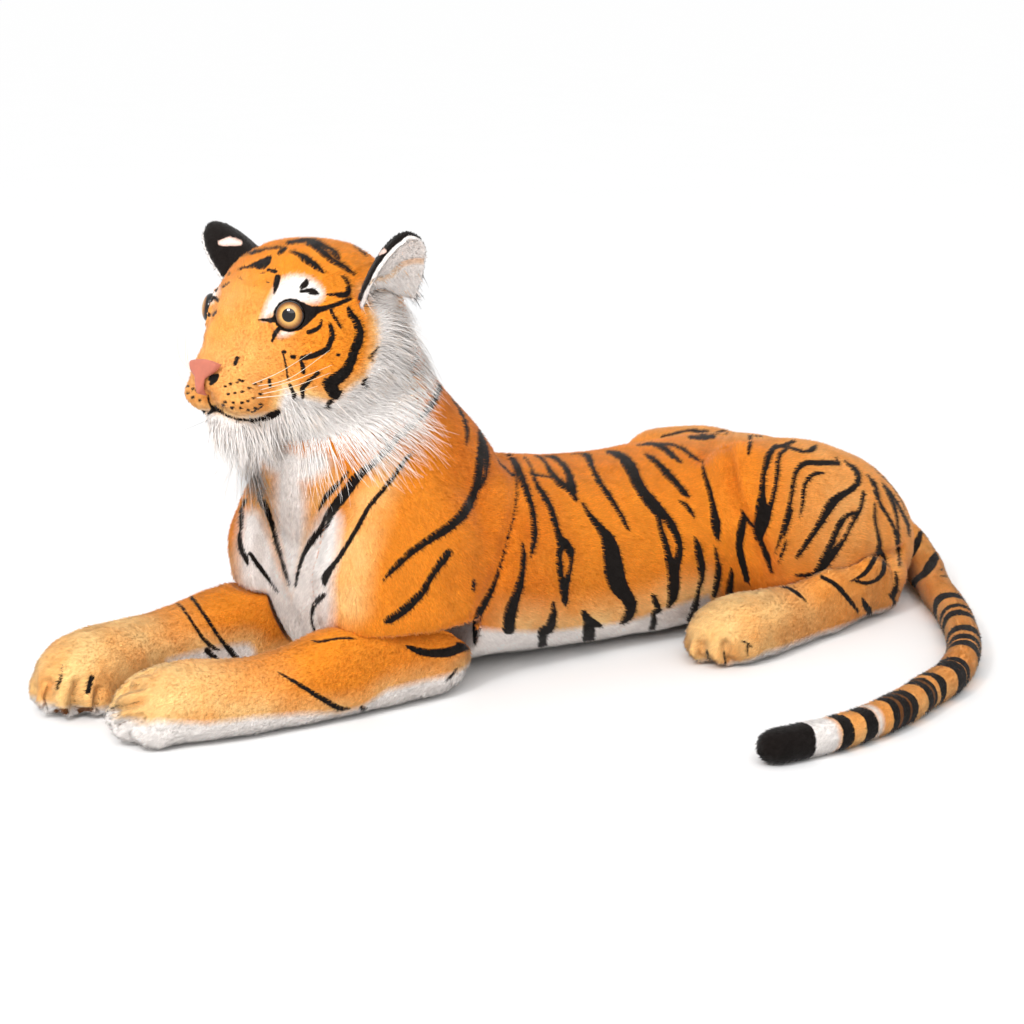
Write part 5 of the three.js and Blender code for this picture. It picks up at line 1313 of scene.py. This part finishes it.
class TIGER_OT_skins(bpy.types.Operator):
    """Makes the torso's and the head's skin as one, parts them inside the ruff, and prints and piles them"""

    bl_idname = "tiger.skins"
    bl_label = "Torso and head"

    torso_nodes = ("torso_back", "belly_panel", "torso_filling", "chest_bib", "neck", "upper_arm_left",
                   "upper_arm_right", "thigh_left", "thigh_right")
    head_nodes = ("head_skin", "head_filling", "muzzle", "chin")

    def execute(self, context):
        shape = context.scene.tiger_shape
        body = sewn("body_skin", [*self.torso_nodes, *self.head_nodes], shape.voxel, HAUNCH_WADS)
        skin = Skin(body)
        above = above_neck(skin)
        on_face = smoothstep(above, 0.03, 0.08)
        skin.smooth(26, 1 - 0.8 * on_face)
        skin.smooth(30, np.exp(-((above / 0.05) ** 2)))
        skin.swell(-shape.inset)
        skin.swell(shape.lumps * skin.unevenness(0.075, 11) * (1 - 0.6 * on_face))
        sight = skin.tree()
        edge = [sight.ray_cast(*sight_line(*p))[0] for p in BELLY_EDGE]
        edge = sorted((p.y, p.z) for p in edge if p is not None)
        head = cut_off(body, "head_skin_plush", TURN_CENTRE + TURN_AXIS * TWIST_ABOVE, TURN_AXIS)
        self.print_body(Skin(body), shape, edge)
        self.print_head(Skin(finer(head)), shape)
        for name in ("body_skin", "head_skin_plush"):
            finished(bpy.data.objects[name], plush_material(False))
        self.pile_body(bpy.data.objects["body_skin"])
        grown(bpy.data.objects["head_skin_plush"], "head_pile", plush_material(True), width=0.0010, spread=0.22)
        return {"FINISHED"}

    def pile_body(self, body):
        """The torso's pile: the half near the neck, which turns with it, and the rear half."""
        skin = Skin(body)
        thick = 1.0 - at_rim(skin)
        front = skin.co[:, 1] < PILE_PARTS_AT
        for name, where in (("body_pile", front), ("rear_pile", ~front)):
            skin.store("pile", thick * where)
            grown(body, name, plush_material(True))
        skin.store("pile", thick)

    def print_body(self, skin, shape, edge):
        flip = across_body()
        for pixel, height, width, push in BODY_BULGES:
            bulged(skin, pixel, height, width, flip, push)
        pressed(skin, [SHOULDER_SEAM, THIGH_SEAM], shape.seam_width, shape.seam_depth, flip)
        skin.on_floor()
        x, y, z = skin.co.T
        edge_y = [edge[0][0] - 0.02, *(p[0] for p in edge), edge[-1][0] + 0.02]
        edge_z = [0.02, *(p[1] for p in edge), 0.010]
        over_belly = z - np.interp(y, edge_y, edge_z)
        # The bib as traced, and where the photograph doesn't show the chest as wide as a bib is cut
        bib = printed(skin, BIB_WHITE) - 0.001
        half = np.interp(z, [0.02, 0.10, 0.25, 0.29], [0.085, 0.075, 0.030, 0.020])
        unseen = (Sight(skin).hidden > 0.2) & (y < -0.20) & (skin.normal[:, 1] < 0.2)
        bib = np.where(unseen, np.minimum(bib, np.abs(x) - half), bib)
        stripes = printed(skin, FLANK_STRIPES + HAUNCH_STRIPES + CHEST_STRIPES, flip)
        black = np.minimum(stripes, printed(skin, BIB_STRIPES)) - INK_SPREAD
        near_belly = (1 - smoothstep(over_belly, 0.0, 0.055)) * smoothstep(y, -0.16, -0.08)
        near_bib = 1 - smoothstep(printed(skin, BIB_PALE), -0.012, 0.026)
        ridge = smoothstep(z, 0.12, 0.23) * smoothstep(y, -0.14, -0.02) * (1 - smoothstep(y, 0.22, 0.34)) * 0.45
        # Painted shade: deep orange along the shoulder and thigh seams, where shade falls in their creases
        painted_crease_shade = 0.8 * (1 - smoothstep(printed(skin, [THIGH_SEAM, SHOULDER_SEAM], flip), 0.0, 0.022))
        haunch = 0.35 * smoothstep(y, 0.20, 0.34)
        nape = smoothstep(y, -0.24, -0.14) * (1 - smoothstep(y, -0.06, 0.02)) * 0.7
        black = np.minimum(black, from_behind(skin, RUMP_STRIPES, 0.42, 1.0))
        black = np.minimum(black, from_behind(skin, NAPE_STRIPES, -1.0, 0.0))
        dyed(skin, black=black, white=np.minimum(over_belly, bib * 0.6 - 0.003),
             pale=np.maximum(np.maximum(near_belly * 0.9, near_bib * 0.75), haunch),
             deep=np.maximum(np.maximum(ridge, nape), np.maximum(painted_crease_shade, 0.16)), pile=1.0 - at_rim(skin))
        front = 1 - smoothstep(y, -0.22, -0.06)[:, None]
        flow = np.array([[0.0, 1.0, -0.45]]) * (1 - front) + np.array([[0.0, 0.25, -1.0]]) * front
        combed(skin, flow, math.radians(30))

    def print_head(self, skin, shape):
        flip = across_head()
        skin.smooth(4, 1.0 - at_rim(skin))
        for line, width, depth in FACE_FOLDS:
            pressed(skin, [line], width * PIXEL, depth, flip)
        for pixel, height, width in MUZZLE_PADS:
            bulged(skin, pixel, height, width, flip, push=head_heading(0.45, 0.85, -0.1))
        for pixel, height, width in BRIDGE:
            bulged(skin, pixel, height, width, push=head_heading(-0.1, 0.85, 0.5))
        pressed(skin, [MOUTH], 0.0045, 0.0045, flip)
        pressed(skin, [PHILTRUM], 0.0035, 0.0035)
        lids = [np.array(eye_seat(side)[0]) for side in ("left", "right")]
        eyes = np.minimum(*(np.linalg.norm(skin.co - seat, axis=1) for seat in lids))
        skin.swell(0.0036 * np.exp(-(((eyes - 0.0180) / 0.0040) ** 2)))
        eyes = np.minimum(*(np.linalg.norm(skin.co - seat, axis=1) for seat in lids))
        out, ahead, rise = from_skull(skin)
        spots = [[(x - 0.6, y, 1.0), (x + 0.6, y, 1.0)] for x, y in WHISKER_SPOTS]
        black = printed(skin, [*HEAD_MARKS, *EYE_LINES, MOUTH, NOSTRIL, *spots], flip)
        black = np.minimum(black, printed(skin, [*FAR_EYE_LINES, PHILTRUM]))
        black = np.minimum(black - INK_SPREAD, eyes - LID_RADIUS)
        black = np.minimum(black, printed(skin, BROWN_TICKS, flip) + INK_SPREAD)
        white = np.minimum(printed(skin, EYE_WHITE, flip), printed(skin, FAR_EYE_WHITE))
        cheek = printed(skin, [], flip, outline=CHEEK_WHITE_OUTLINE)
        cheek = np.maximum(cheek, -printed(skin, [], flip, outline=NAPE))
        white = np.minimum(white, cheek)
        black = np.minimum(black, printed(skin, NAPE_TICKS, flip))
        black = np.minimum(black, from_behind(skin, CROWN_STRIPES, -1.0, 0.0))
        under = np.maximum(rise + 0.075, -ahead + 0.02) * 0.6
        white = np.minimum(white, under)
        pale = 0.75 * (1 - smoothstep(cheek, 0.0, 0.016)) + 0.35 * smoothstep(-rise, 0.02, 0.06)
        pale = np.maximum(pale, 0.40 * smoothstep(ahead, 0.04, 0.10))
        deep = 0.3 * smoothstep(ahead, 0.07, 0.12) * (1 - smoothstep(np.abs(out), 0.02, 0.04))
        deep *= smoothstep(rise, -0.06, -0.02)
        short = 0.6 + 0.5 * smoothstep(-ahead, -0.08, 0.02) + 1.3 * (1 - smoothstep(cheek, -0.012, 0.0))
        short = np.where(eyes < 0.023, 0.35, short)
        dyed(skin, black=black, white=white, pale=pale.clip(0, 1), deep=deep,
             pile=(1.0 - at_rim(skin)) * smoothstep(eyes, 0.0155, 0.0175), hair_length=short)
        # The pile runs away from the nose
        combed(skin, skin.co - np.array(head_place(0, 0.135, -0.03)), math.radians(26))


class TIGER_OT_legs(bpy.types.Operator):
    """Makes the forelegs and the lower hind legs with their paws, prints and piles them"""

    bl_idname = "tiger.legs"
    bl_label = "Legs and paws"

    def execute(self, context):
        shape = context.scene.tiger_shape
        for side in ("left", "right"):
            self.foreleg(side, shape)
            self.hind_leg(side, shape)
        return {"FINISHED"}

    def leg(self, name, nodes, shape):
        obj = sewn(f"{name}_plush", nodes, shape.leg_voxel)
        skin = Skin(obj)
        skin.smooth(9)
        skin.swell(-shape.inset)
        skin.swell(shape.lumps * skin.unevenness(0.06, 21))
        for pixel, height, width in LEG_BULGES.get(name, []):
            bulged(skin, pixel, height, width)
        pressed(skin, TOE_GROOVES.get(name, []), 0.0060, 0.0085)
        skin.on_floor()
        return obj, skin

    def white_edge(self, skin, line):
        tree = skin.tree()
        met = [tree.ray_cast(*sight_line(*p))[0] for p in line]
        met = sorted((p.y, p.z) for p in met if p is not None)
        return skin.co[:, 2] - np.interp(skin.co[:, 1], [p[0] for p in met], [p[1] for p in met])

    def pile_on(self, name, obj, skin, heading):
        combed(skin, np.repeat(np.array([heading], float), len(skin.co), 0), math.radians(30))
        finished(obj, plush_material(False))
        grown(obj, f"{name}_pile", plush_material(True))

    def foreleg(self, side, shape):
        name = f"foreleg_{side}"
        obj, skin = self.leg(name, [f"forearm_{side}", f"forepaw_{side}"], shape)
        black = printed(skin, FORELEG_MARKS[side])
        if side == "right":
            turned = Sight(skin).hidden
            mirrored = printed(skin, FORELEG_MARKS["left"], across_body())
            black = np.minimum(black, mirrored + (1 - turned) * UNMARKED)
        white = self.white_edge(skin, FORELEG_WHITE_EDGE[side])
        if side == "right":
            white = np.minimum(white, printed(skin, FAR_FORELEG_WHITE))
        pads = printed(skin, [[(*p, 0.5) for p in line] for line in TOE_GROOVES[name]])
        if side == "right":
            pads = np.minimum(pads, printed(skin, TOE_PADS))
        y = skin.co[:, 1]
        pale = 0.95 * smoothstep(-y, 0.34, 0.50) + 0.7 * (1 - smoothstep(white, 0.0, 0.03))
        dyed(skin, black=black, white=white, pad=pads, pale=pale.clip(0, 1), deep=0.35 * smoothstep(y, -0.30, -0.18))
        self.pile_on(name, obj, skin, (0.0, -1.0, -0.25))

    def hind_leg(self, side, shape):
        name = f"hind_leg_{side}"
        obj, skin = self.leg(name, [f"lower_leg_{side}", f"hind_paw_{side}"], shape)
        flip = across_body() if side == "right" else None
        black = printed(skin, HIND_LEG_MARKS + HAUNCH_STRIPES, flip)
        if side == "left":
            white = self.white_edge(skin, HIND_LEG_WHITE_EDGE)
        else:
            white = skin.co[:, 2] - 0.014
        pale = 0.75 * (1 - smoothstep(skin.co[:, 1], 0.14, 0.30)) + 0.3
        dyed(skin, black=black, white=white, pale=pale.clip(0, 1))
        self.pile_on(name, obj, skin, (0.1, -1.0, -0.25))


# The tail's way along the floor: places given in metres, out to the left side and back from the origin
TAIL_PLAN = [(0.0, 0.5217), (0.0339, 0.5617), (0.0799, 0.5555), (0.1791, 0.4896), (0.2449, 0.4478), (0.3088, 0.3993),
             (0.3620, 0.3508), (0.4032, 0.2995), (0.4274, 0.2566), (0.4443, 0.2076), (0.4661, 0.1540), (0.4792, 0.0936),
             (0.4840, 0.0282), (0.4801, -0.0124), (0.4743, -0.0451)]


class TIGER_OT_tail(bpy.types.Operator):
    """Makes the tail in two lengths, rings and piles it"""

    bl_idname = "tiger.tail"
    bl_label = "Tail"

    nodes = ("tail_root", "tail_base", "tail_middle", "tail_bend", "tail_end", "tail_tip")

    def execute(self, context):
        shape = context.scene.tiger_shape
        tail = sewn("tail_first_plush", self.nodes, shape.leg_voxel)
        skin = Skin(tail)
        skin.smooth(8)
        skin.swell(-shape.inset)
        skin.swell(0.6 * shape.lumps * skin.unevenness(0.05, 31))
        tree = skin.tree()
        route = spline(TAIL_PLAN, 12)[:, :2]
        ran = np.concatenate([[0], np.cumsum(np.linalg.norm(np.diff(route, axis=0), axis=1))])
        heading = np.gradient(route, axis=0)

        def along(points):
            gap = np.linalg.norm(np.asarray(points)[:, None, :2] - route[None], axis=2)
            k = gap.argmin(1).clip(1, len(route) - 2)
            step = ((np.asarray(points)[:, :2] - route[k]) * heading[k]).sum(1) / np.linalg.norm(heading[k], axis=1)
            return ran[k] + step, heading[k]

        def met(x, y):
            return along([tree.ray_cast(*sight_line(x, y))[0]])[0][0]

        far, flow = along(skin.co)
        skin.swell(0.005 * (1 - smoothstep(far, 0.06, 0.20)))
        skin.on_floor()
        wobble = 0.0016 * skin.unevenness(0.03, 41)
        black = printed(skin, TAIL_STRIPES)
        seen = np.stack(pixels(np.concatenate([route, np.full((len(route), 1), 0.035)], 1)), 1)
        ran_pixels = np.linalg.norm(np.gradient(seen, axis=0), axis=1) / np.gradient(ran)
        for x, y, half in TAIL_RINGS:
            at = met(x, y)
            broad = (0.6 + 1.1 * half) / np.interp(at, ran, ran_pixels)
            black = np.minimum(black, np.abs(far - at + wobble) - broad)
        white_from, tip_from = (met(*p) for p in TAIL_WHITE)
        black = np.minimum(black, tip_from - far + wobble)
        white = np.maximum(white_from - far, far - tip_from - 0.01)
        brown = np.full(len(far), UNMARKED)
        for first, second in TAIL_BROWN:
            ends = [met(*TAIL_RINGS[k][:2]) for k in (first, second)]
            brown = np.minimum(brown, np.abs(far - sum(ends) / 2 + wobble) - abs(ends[0] - ends[1]) / 2)
        pale_at = met(*TAIL_PALE[1])
        white = np.minimum(white, np.abs(far - pale_at) - 0.004)
        dyed(skin, black=black, white=white, pale=0.7 - 0.4 * smoothstep(skin.co[:, 2], 0.01, 0.04),
             pad=brown)
        combed(skin, np.concatenate([flow, np.zeros((len(flow), 1))], 1), math.radians(30))
        end = cut_off(tail, "tail_last_plush", TAIL_BEND, TAIL_BEND_HEADING)
        for obj in (tail, end):
            part = Skin(obj)
            side = (part.co - np.array(TAIL_BEND)) @ np.array(TAIL_BEND_HEADING)
            part.store("pile", 1.0 - (np.abs(side) < RIM_NEAR))
            finished(obj, plush_material(False))
        grown(tail, "tail_first_pile", plush_material(True))
        grown(end, "tail_last_pile", plush_material(True))
        return {"FINISHED"}


def node_middle(name):
    return np.mean([v.co for v in frame["nodes"][name].data.vertices], axis=0)


class TIGER_OT_ears(bpy.types.Operator):
    """Makes each ear's black back and white lining"""

    bl_idname = "tiger.ears"
    bl_label = "Ears"

    def execute(self, context):
        shape = context.scene.tiger_shape
        for side, flip in (("left", None), ("right", across_head())):
            for layer in ("ear_back", "ear_lining"):
                name = f"{layer}_{side}"
                obj = sewn(f"{name}_plush", [name], shape.ear_voxel)
                skin = Skin(obj)
                skin.smooth(6)
                skin.swell(0.0006)
                root = np.array(head_place(0.093 if side == "left" else -0.093, -0.036, 0.025))
                skin.co = root + (skin.co - root) * EAR_SHRINK
                skin.refresh()
                up_ear = np.linalg.norm(skin.co - root, axis=1)
                if layer == "ear_back":
                    spot = printed(skin, EAR_SPOTS[side], across_head())
                    base = up_ear - 0.045
                    dyed(skin, black=np.maximum(-base, -spot), white=spot, deep=0.9, hair_length=0.45)
                else:
                    fold = printed(skin, [EAR_FOLD], flip)
                    pressed(skin, [EAR_FOLD], 0.004, 0.002, flip)
                    rim = np.minimum(printed(skin, [EAR_RIM], flip), printed(skin, [], flip, outline=EAR_BLACK))
                    behind = skin.normal @ (node_middle(f"ear_back_{side}") - node_middle(name))
                    rim = np.minimum(rim, 0.004 * (0.25 - behind / np.abs(behind).max()))
                    # Painted shade: the lining is painted tan and deep orange, and less white, along its fold, where
                    # shade falls
                    tan = 0.7 * (1 - smoothstep(fold, 0.0, 0.006))
                    dyed(skin, black=rim, white=-0.008 + 0.012 * tan, deep=0.3 * tan, pale=0.8, hair_length=0.45)
                combed(skin, skin.co - root, math.radians(30))
                finished(obj, plush_material(False))
                grown(obj, f"{name}_pile", plush_material(True))
                if layer == "ear_lining":
                    lower = 1 - smoothstep(up_ear, 0.035, 0.075)
                    self.tufts(obj, name, lower)
        return {"FINISHED"}

    def tufts(self, obj, name, where):
        skin = Skin(obj)
        skin.store("pile", where)
        skin.store("tan", np.full(len(skin.co), 1.0))
        flow = np.array(head_place(0, -0.30, -0.12)) - skin.co
        flow[:, 0] += np.sign(skin.co[:, 0]) * 0.06
        combed(skin, flow, math.radians(12))
        grown(obj, f"{name}_tufts", hair_material(), strand=True, per_area=120000, run=0.036, width=0.0008,
              spread=0.14, roll=0.6)
        skin.store("pile", np.ones(len(skin.co)))


class TIGER_OT_ruff(bpy.types.Operator):
    """Makes the long white ruff round the cheeks and under the throat"""

    bl_idname = "tiger.ruff"
    bl_label = "Ruff"

    def execute(self, context):
        shape = context.scene.tiger_shape
        obj = sewn("ruff_plush", ["cheek_fur_left", "cheek_fur_right", "throat_fur"], shape.leg_voxel)
        skin = Skin(obj)
        skin.smooth(14)
        skin.swell(-0.005)
        for pixel, height, width in RUFF_BULGES:
            bulged(skin, pixel, height, width, across_head(), push=(0, -0.2, -1))
        self.comb_back(skin)
        nape = printed(skin, [], across_head(), outline=NAPE)
        back = 1 - smoothstep(nape, -0.004, 0.004)
        long = 0.58 + 0.5 * self.low(skin) + 0.5 * self.front(skin)
        dyed(skin, white=-nape.clip(-0.012, 0.012), tan=0.55 + 0.45 * back, hair_length=long, pile=1 - 0.55 * back)
        finished(obj, plush_material(False))
        grown(obj, "ruff_hair", hair_material(), strand=True, spread=0.17, roll=0.7)
        self.on_head()
        return {"FINISHED"}

    def front(self, skin):
        """The throat under the chin, where the hair is longest."""
        out, ahead, _ = from_skull(skin)
        return smoothstep(ahead, -0.05, 0.02) * (1 - smoothstep(np.abs(out), 0.05, 0.10))

    def low(self, skin):
        return 1 - smoothstep(from_skull(skin)[2], -0.06, 0.03)

    def comb_back(self, skin, lift=15):
        """Combs the hair away from the middle of each cheek, backwards, and downwards under the chin."""
        out, ahead, rise = from_skull(skin)
        side = np.sign(out)
        flow = np.stack([out - side * 0.045, -(ahead - 0.075) + 0.03, rise + 0.02], 1)
        flow = flow / np.linalg.norm(flow, axis=1, keepdims=True)
        flow[:, 2] -= 0.35
        middle = (1 - smoothstep(np.abs(out), 0.03, 0.08))[:, None]
        flow = flow * (1 - middle) + np.array([[0, 0.15, -1.0]]) * middle
        turn = np.array(head_matrix())[:3, :3]
        combed(skin, flow @ turn.T, math.radians(lift))
        # Light comes through long hair, so that it never gets as dark underneath as cloth does
        lit = skin.normal + np.array([0.25, -0.25, 0.75])
        skin.store("cloth_normal", lit / np.linalg.norm(lit, axis=1, keepdims=True))

    def on_head(self):
        """The same hair, shorter, on the white of the cheeks and the chin."""
        head = bpy.data.objects["head_skin_plush"]
        host = new_object("ruff_root", head.data.copy())
        skin = Skin(host)
        cheek = printed(skin, [], across_head(), outline=CHEEK_WHITE_OUTLINE)
        _, ahead, rise = from_skull(skin)
        behind = 1 - smoothstep(ahead, 0.03, 0.09)
        where = (1 - smoothstep(cheek, -0.012, -0.003)) * (0.35 + 0.65 * behind)
        where = np.maximum(where, 0.8 * smoothstep(-rise, 0.070, 0.085) * smoothstep(ahead, -0.03, 0.02))
        where *= 1 - smoothstep(rise, 0.0, 0.05)
        where *= 0.3 + 0.7 * smoothstep(printed(skin, [], across_head(), outline=NAPE), -0.012, 0.004)
        skin.store("pile", where * (1.0 - at_rim(skin)))
        skin.store("hair_length", 0.35 + 0.5 * behind + 0.5 * smoothstep(-rise, 0.055, 0.090))
        skin.store("tan", np.full(len(skin.co), 0.3))
        self.comb_back(skin, 14)
        grown(host, "cheek_hair", hair_material(), strand=True, per_area=560000, spread=0.15, roll=0.7)
        bpy.data.objects.remove(host)


def eye_seat(side):
    """The middle of an eye's back, and the way that the eye faces."""
    sign = 1 if side == "left" else -1
    facing = head_matrix().to_3x3() @ Vector((sign * EYE_FACING[0], EYE_FACING[1], EYE_FACING[2]))
    apex = max((v.co for v in frame["nodes"][f"eye_{side}"].data.vertices), key=lambda c: c.dot(facing))
    return apex - facing * (EYE_RIM + EYE_DOME), facing


class TIGER_OT_eyes(bpy.types.Operator):
    """Makes the two domed eyes"""

    bl_idname = "tiger.eyes"
    bl_label = "Eyes"

    sides = 64
    rings = 20

    def execute(self, context):
        material = eye_material()
        for side in ("left", "right"):
            seat, facing = eye_seat(side)
            across = facing.cross(UP).normalized()
            lift = across.cross(facing)
            profile = [(0.0, EYE_FOOT), (EYE_RADIUS, EYE_FOOT)]
            for k in range(self.rings):
                angle = k / self.rings * math.pi / 2
                profile.append((EYE_RADIUS * math.cos(angle), EYE_RIM + EYE_DOME * math.sin(angle)))
            points, out, ray = [], [], []
            for radius, height in profile[1:]:
                for k in range(self.sides):
                    turn = 2 * math.pi * k / self.sides
                    spot = across * math.cos(turn) + lift * math.sin(turn)
                    points.append(seat + spot * radius + facing * height)
                    out.append(radius / EYE_RADIUS)
                    ray.append((math.cos(turn), math.sin(turn), 0))
            tip, foot = len(points), len(points) + 1
            points += [seat + facing * (EYE_RIM + EYE_DOME), seat + facing * profile[0][1]]
            out += [0, 1]
            ray += [(0, 0, 0), (0, 0, 0)]
            faces = []
            rows = len(profile) - 1
            for k in range(self.sides):
                after = (k + 1) % self.sides
                faces.append((foot, after, k))
                faces.append((tip, (rows - 1) * self.sides + k, (rows - 1) * self.sides + after))
                for row in range(rows - 1):
                    a = row * self.sides
                    faces.append((a + k, a + after, a + self.sides + after, a + self.sides + k))
            eye = mesh_object(f"eye_{side}_dome", points, faces)
            face_outwards(eye)
            dome = Skin(eye)
            dome.store("out", np.array(out, float))
            dome.store("ray", np.array(ray, float))
            finished(eye, material)
        return {"FINISHED"}


class TIGER_OT_nose(bpy.types.Operator):
    """Makes the pink nose with its nostrils"""

    bl_idname = "tiger.nose"
    bl_label = "Nose"

    def execute(self, context):
        obj = sewn("nose_soft", ["nose"], context.scene.tiger_shape.ear_voxel * 0.8)
        skin = Skin(obj)
        skin.smooth(8)
        pressed(skin, [NOSTRIL], 0.0030, 0.0030, across_head())
        skin.store("black", printed(skin, [NOSTRIL], across_head()))
        finished(obj, nose_material())
        return {"FINISHED"}


class TIGER_OT_whiskers(bpy.types.Operator):
    """Makes the whiskers on both sides of the muzzle"""

    bl_idname = "tiger.whiskers"
    bl_label = "Whiskers"

    thickness = 0.00045
    sides = 5
    steps = 10

    def execute(self, context):
        tree = Skin(bpy.data.objects["head_skin_plush"]).tree()
        points, faces = [], []
        for line in NEAR_WHISKERS:
            root = tree.ray_cast(*sight_line(*line[0]))[0]
            place, _ = sight_line(*line[0])
            depth = (root - place).length
            path = [root]
            for (x, y), nearer in zip(line[1:], (0.030, 0.045)):
                start, aim = sight_line(x, y)
                path.append(start + aim * (depth - nearer))
            curve = spline([tuple(p) for p in path], self.steps)
            for flip in (Matrix.Identity(4), across_head()):
                self.filament([flip @ Vector(p) for p in curve], points, faces)
        obj = mesh_object("whiskers", points, faces)
        face_outwards(obj)
        finished(obj, whisker_material())
        return {"FINISHED"}

    def filament(self, path, points, faces):
        first = len(points)
        for k, spot in enumerate(path):
            heading = (path[min(k + 1, len(path) - 1)] - path[max(k - 1, 0)]).normalized()
            across = heading.cross(UP).normalized()
            lift = across.cross(heading)
            radius = self.thickness * (1 - 0.75 * k / (len(path) - 1))
            for j in range(self.sides):
                turn = 2 * math.pi * j / self.sides
                points.append(spot + (across * math.cos(turn) + lift * math.sin(turn)) * radius)
        for k in range(len(path) - 1):
            a = first + k * self.sides
            for j in range(self.sides):
                after = (j + 1) % self.sides
                faces.append((a + j, a + after, a + self.sides + after, a + self.sides + j))
        faces.append(tuple(range(first, first + self.sides)))
        last = first + (len(path) - 1) * self.sides
        faces.append(tuple(range(last + self.sides - 1, last - 1, -1)))


class TIGER_PT_panel(bpy.types.Panel):
    """Lists the tiger's pieces in the order in which they are made"""

    bl_idname = "TIGER_PT_panel"
    bl_label = "Plush tiger"
    bl_space_type = "VIEW_3D"
    bl_region_type = "UI"
    bl_category = "Plush tiger"

    def draw(self, context):
        for name, group in GROUPS.items():
            box = self.layout.box()
            for setting in group.__annotations__:
                box.prop(getattr(context.scene, name), setting)
        for operator in OPERATORS:
            self.layout.operator(operator.bl_idname)


GROUPS = {
    "tiger_shape": TIGER_PG_shape,
    "tiger_pile": TIGER_PG_pile,
    "tiger_colours": TIGER_PG_colours,
    "tiger_stage": TIGER_PG_stage,
}
OPERATORS = (TIGER_OT_stage, TIGER_OT_skins, TIGER_OT_legs, TIGER_OT_tail, TIGER_OT_ears, TIGER_OT_ruff,
             TIGER_OT_eyes, TIGER_OT_nose, TIGER_OT_whiskers)


def register():
    for cls in (*GROUPS.values(), *OPERATORS, TIGER_PT_panel):
        bpy.utils.register_class(cls)
    for name, group in GROUPS.items():
        setattr(bpy.types.Scene, name, PointerProperty(type=group))


def unregister():
    for name in GROUPS:
        delattr(bpy.types.Scene, name)
    for cls in reversed((*GROUPS.values(), *OPERATORS, TIGER_PT_panel)):
        bpy.utils.unregister_class(cls)


def bound_to_bodies():
    """Says which body each piece rides on, hides the CAD nodes that it stands for, and gives the eyes' washers their
    material.
    """
    neck_low = TURN_CENTRE - TURN_AXIS * TWIST_BELOW
    neck_high = TURN_CENTRE + TURN_AXIS * TWIST_ABOVE
    pieces = bpy.data.objects
    for name in ("body_skin", "body_pile"):
        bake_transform(pieces[name], "torso", "head", neck_low, neck_high)
    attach(pieces["rear_pile"], "torso")
    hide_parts(*TIGER_OT_skins.torso_nodes)
    for name, slot in (
        ("head_skin_plush", "orange_plush"), ("head_pile", "orange_plush"), ("ruff_plush", "long_white_pile"),
        ("ruff_hair", "long_white_pile"), ("cheek_hair", "long_white_pile"), ("nose_soft", "pink_nose"),
        ("whiskers", "long_white_pile"),
    ):
        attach(pieces[name], "head")
    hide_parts(*TIGER_OT_skins.head_nodes)
    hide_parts("cheek_fur_left", "cheek_fur_right", "throat_fur")
    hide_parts("nose")
    for side in ("left", "right"):
        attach(pieces[f"eye_{side}_dome"], "head")
        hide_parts(f"eye_{side}")
        frame["nodes"][f"eye_washer_{side}"].material_slots[0].material = washer_material()
        for layer, slot in (("ear_back", "black_plush"), ("ear_lining", "white_plush")):
            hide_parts(f"{layer}_{side}")
            for kind in ("plush", "pile"):
                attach(pieces[f"{layer}_{side}_{kind}"], "head")
        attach(pieces[f"ear_lining_{side}_tufts"], "head")
        for leg, nodes in (("foreleg", ("forearm", "forepaw")), ("hind_leg", ("lower_leg", "hind_paw"))):
            sign = 1 if side == "left" else -1
            out, back = LEG_PIVOTS[leg]
            pivot = Vector((sign * out, back, 0))
            for kind in ("plush", "pile"):
                obj = pieces[f"{leg}_{side}_{kind}"]
                bend = (pivot - BACKWARDS * reach for reach in (LEG_BEND_FROM, LEG_BEND_TO))
                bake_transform(obj, "torso", f"{leg}_{side}", *bend)
            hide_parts(*(f"{n}_{side}" for n in nodes))
    for kind in ("plush", "pile"):
        first, last = pieces[f"tail_first_{kind}"], pieces[f"tail_last_{kind}"]
        reach = TAIL_ROOT_HEADING * TAIL_TWIST
        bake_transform(first, "torso", "tail_first", TAIL_ROOT - reach, TAIL_ROOT + reach)
        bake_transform(last, "tail_first", "tail_last", TAIL_BEND, TAIL_BEND + TAIL_BEND_HEADING * 2 * TAIL_TWIST)
    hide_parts("tail_root", "tail_base", "tail_middle")
    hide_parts("tail_bend", "tail_end", "tail_tip")


def main():
    register()
    for operator in OPERATORS:
        group, name = operator.bl_idname.split(".")
        getattr(getattr(bpy.ops, group), name)()
    bound_to_bodies()


if __name__ == "__main__":
    main()
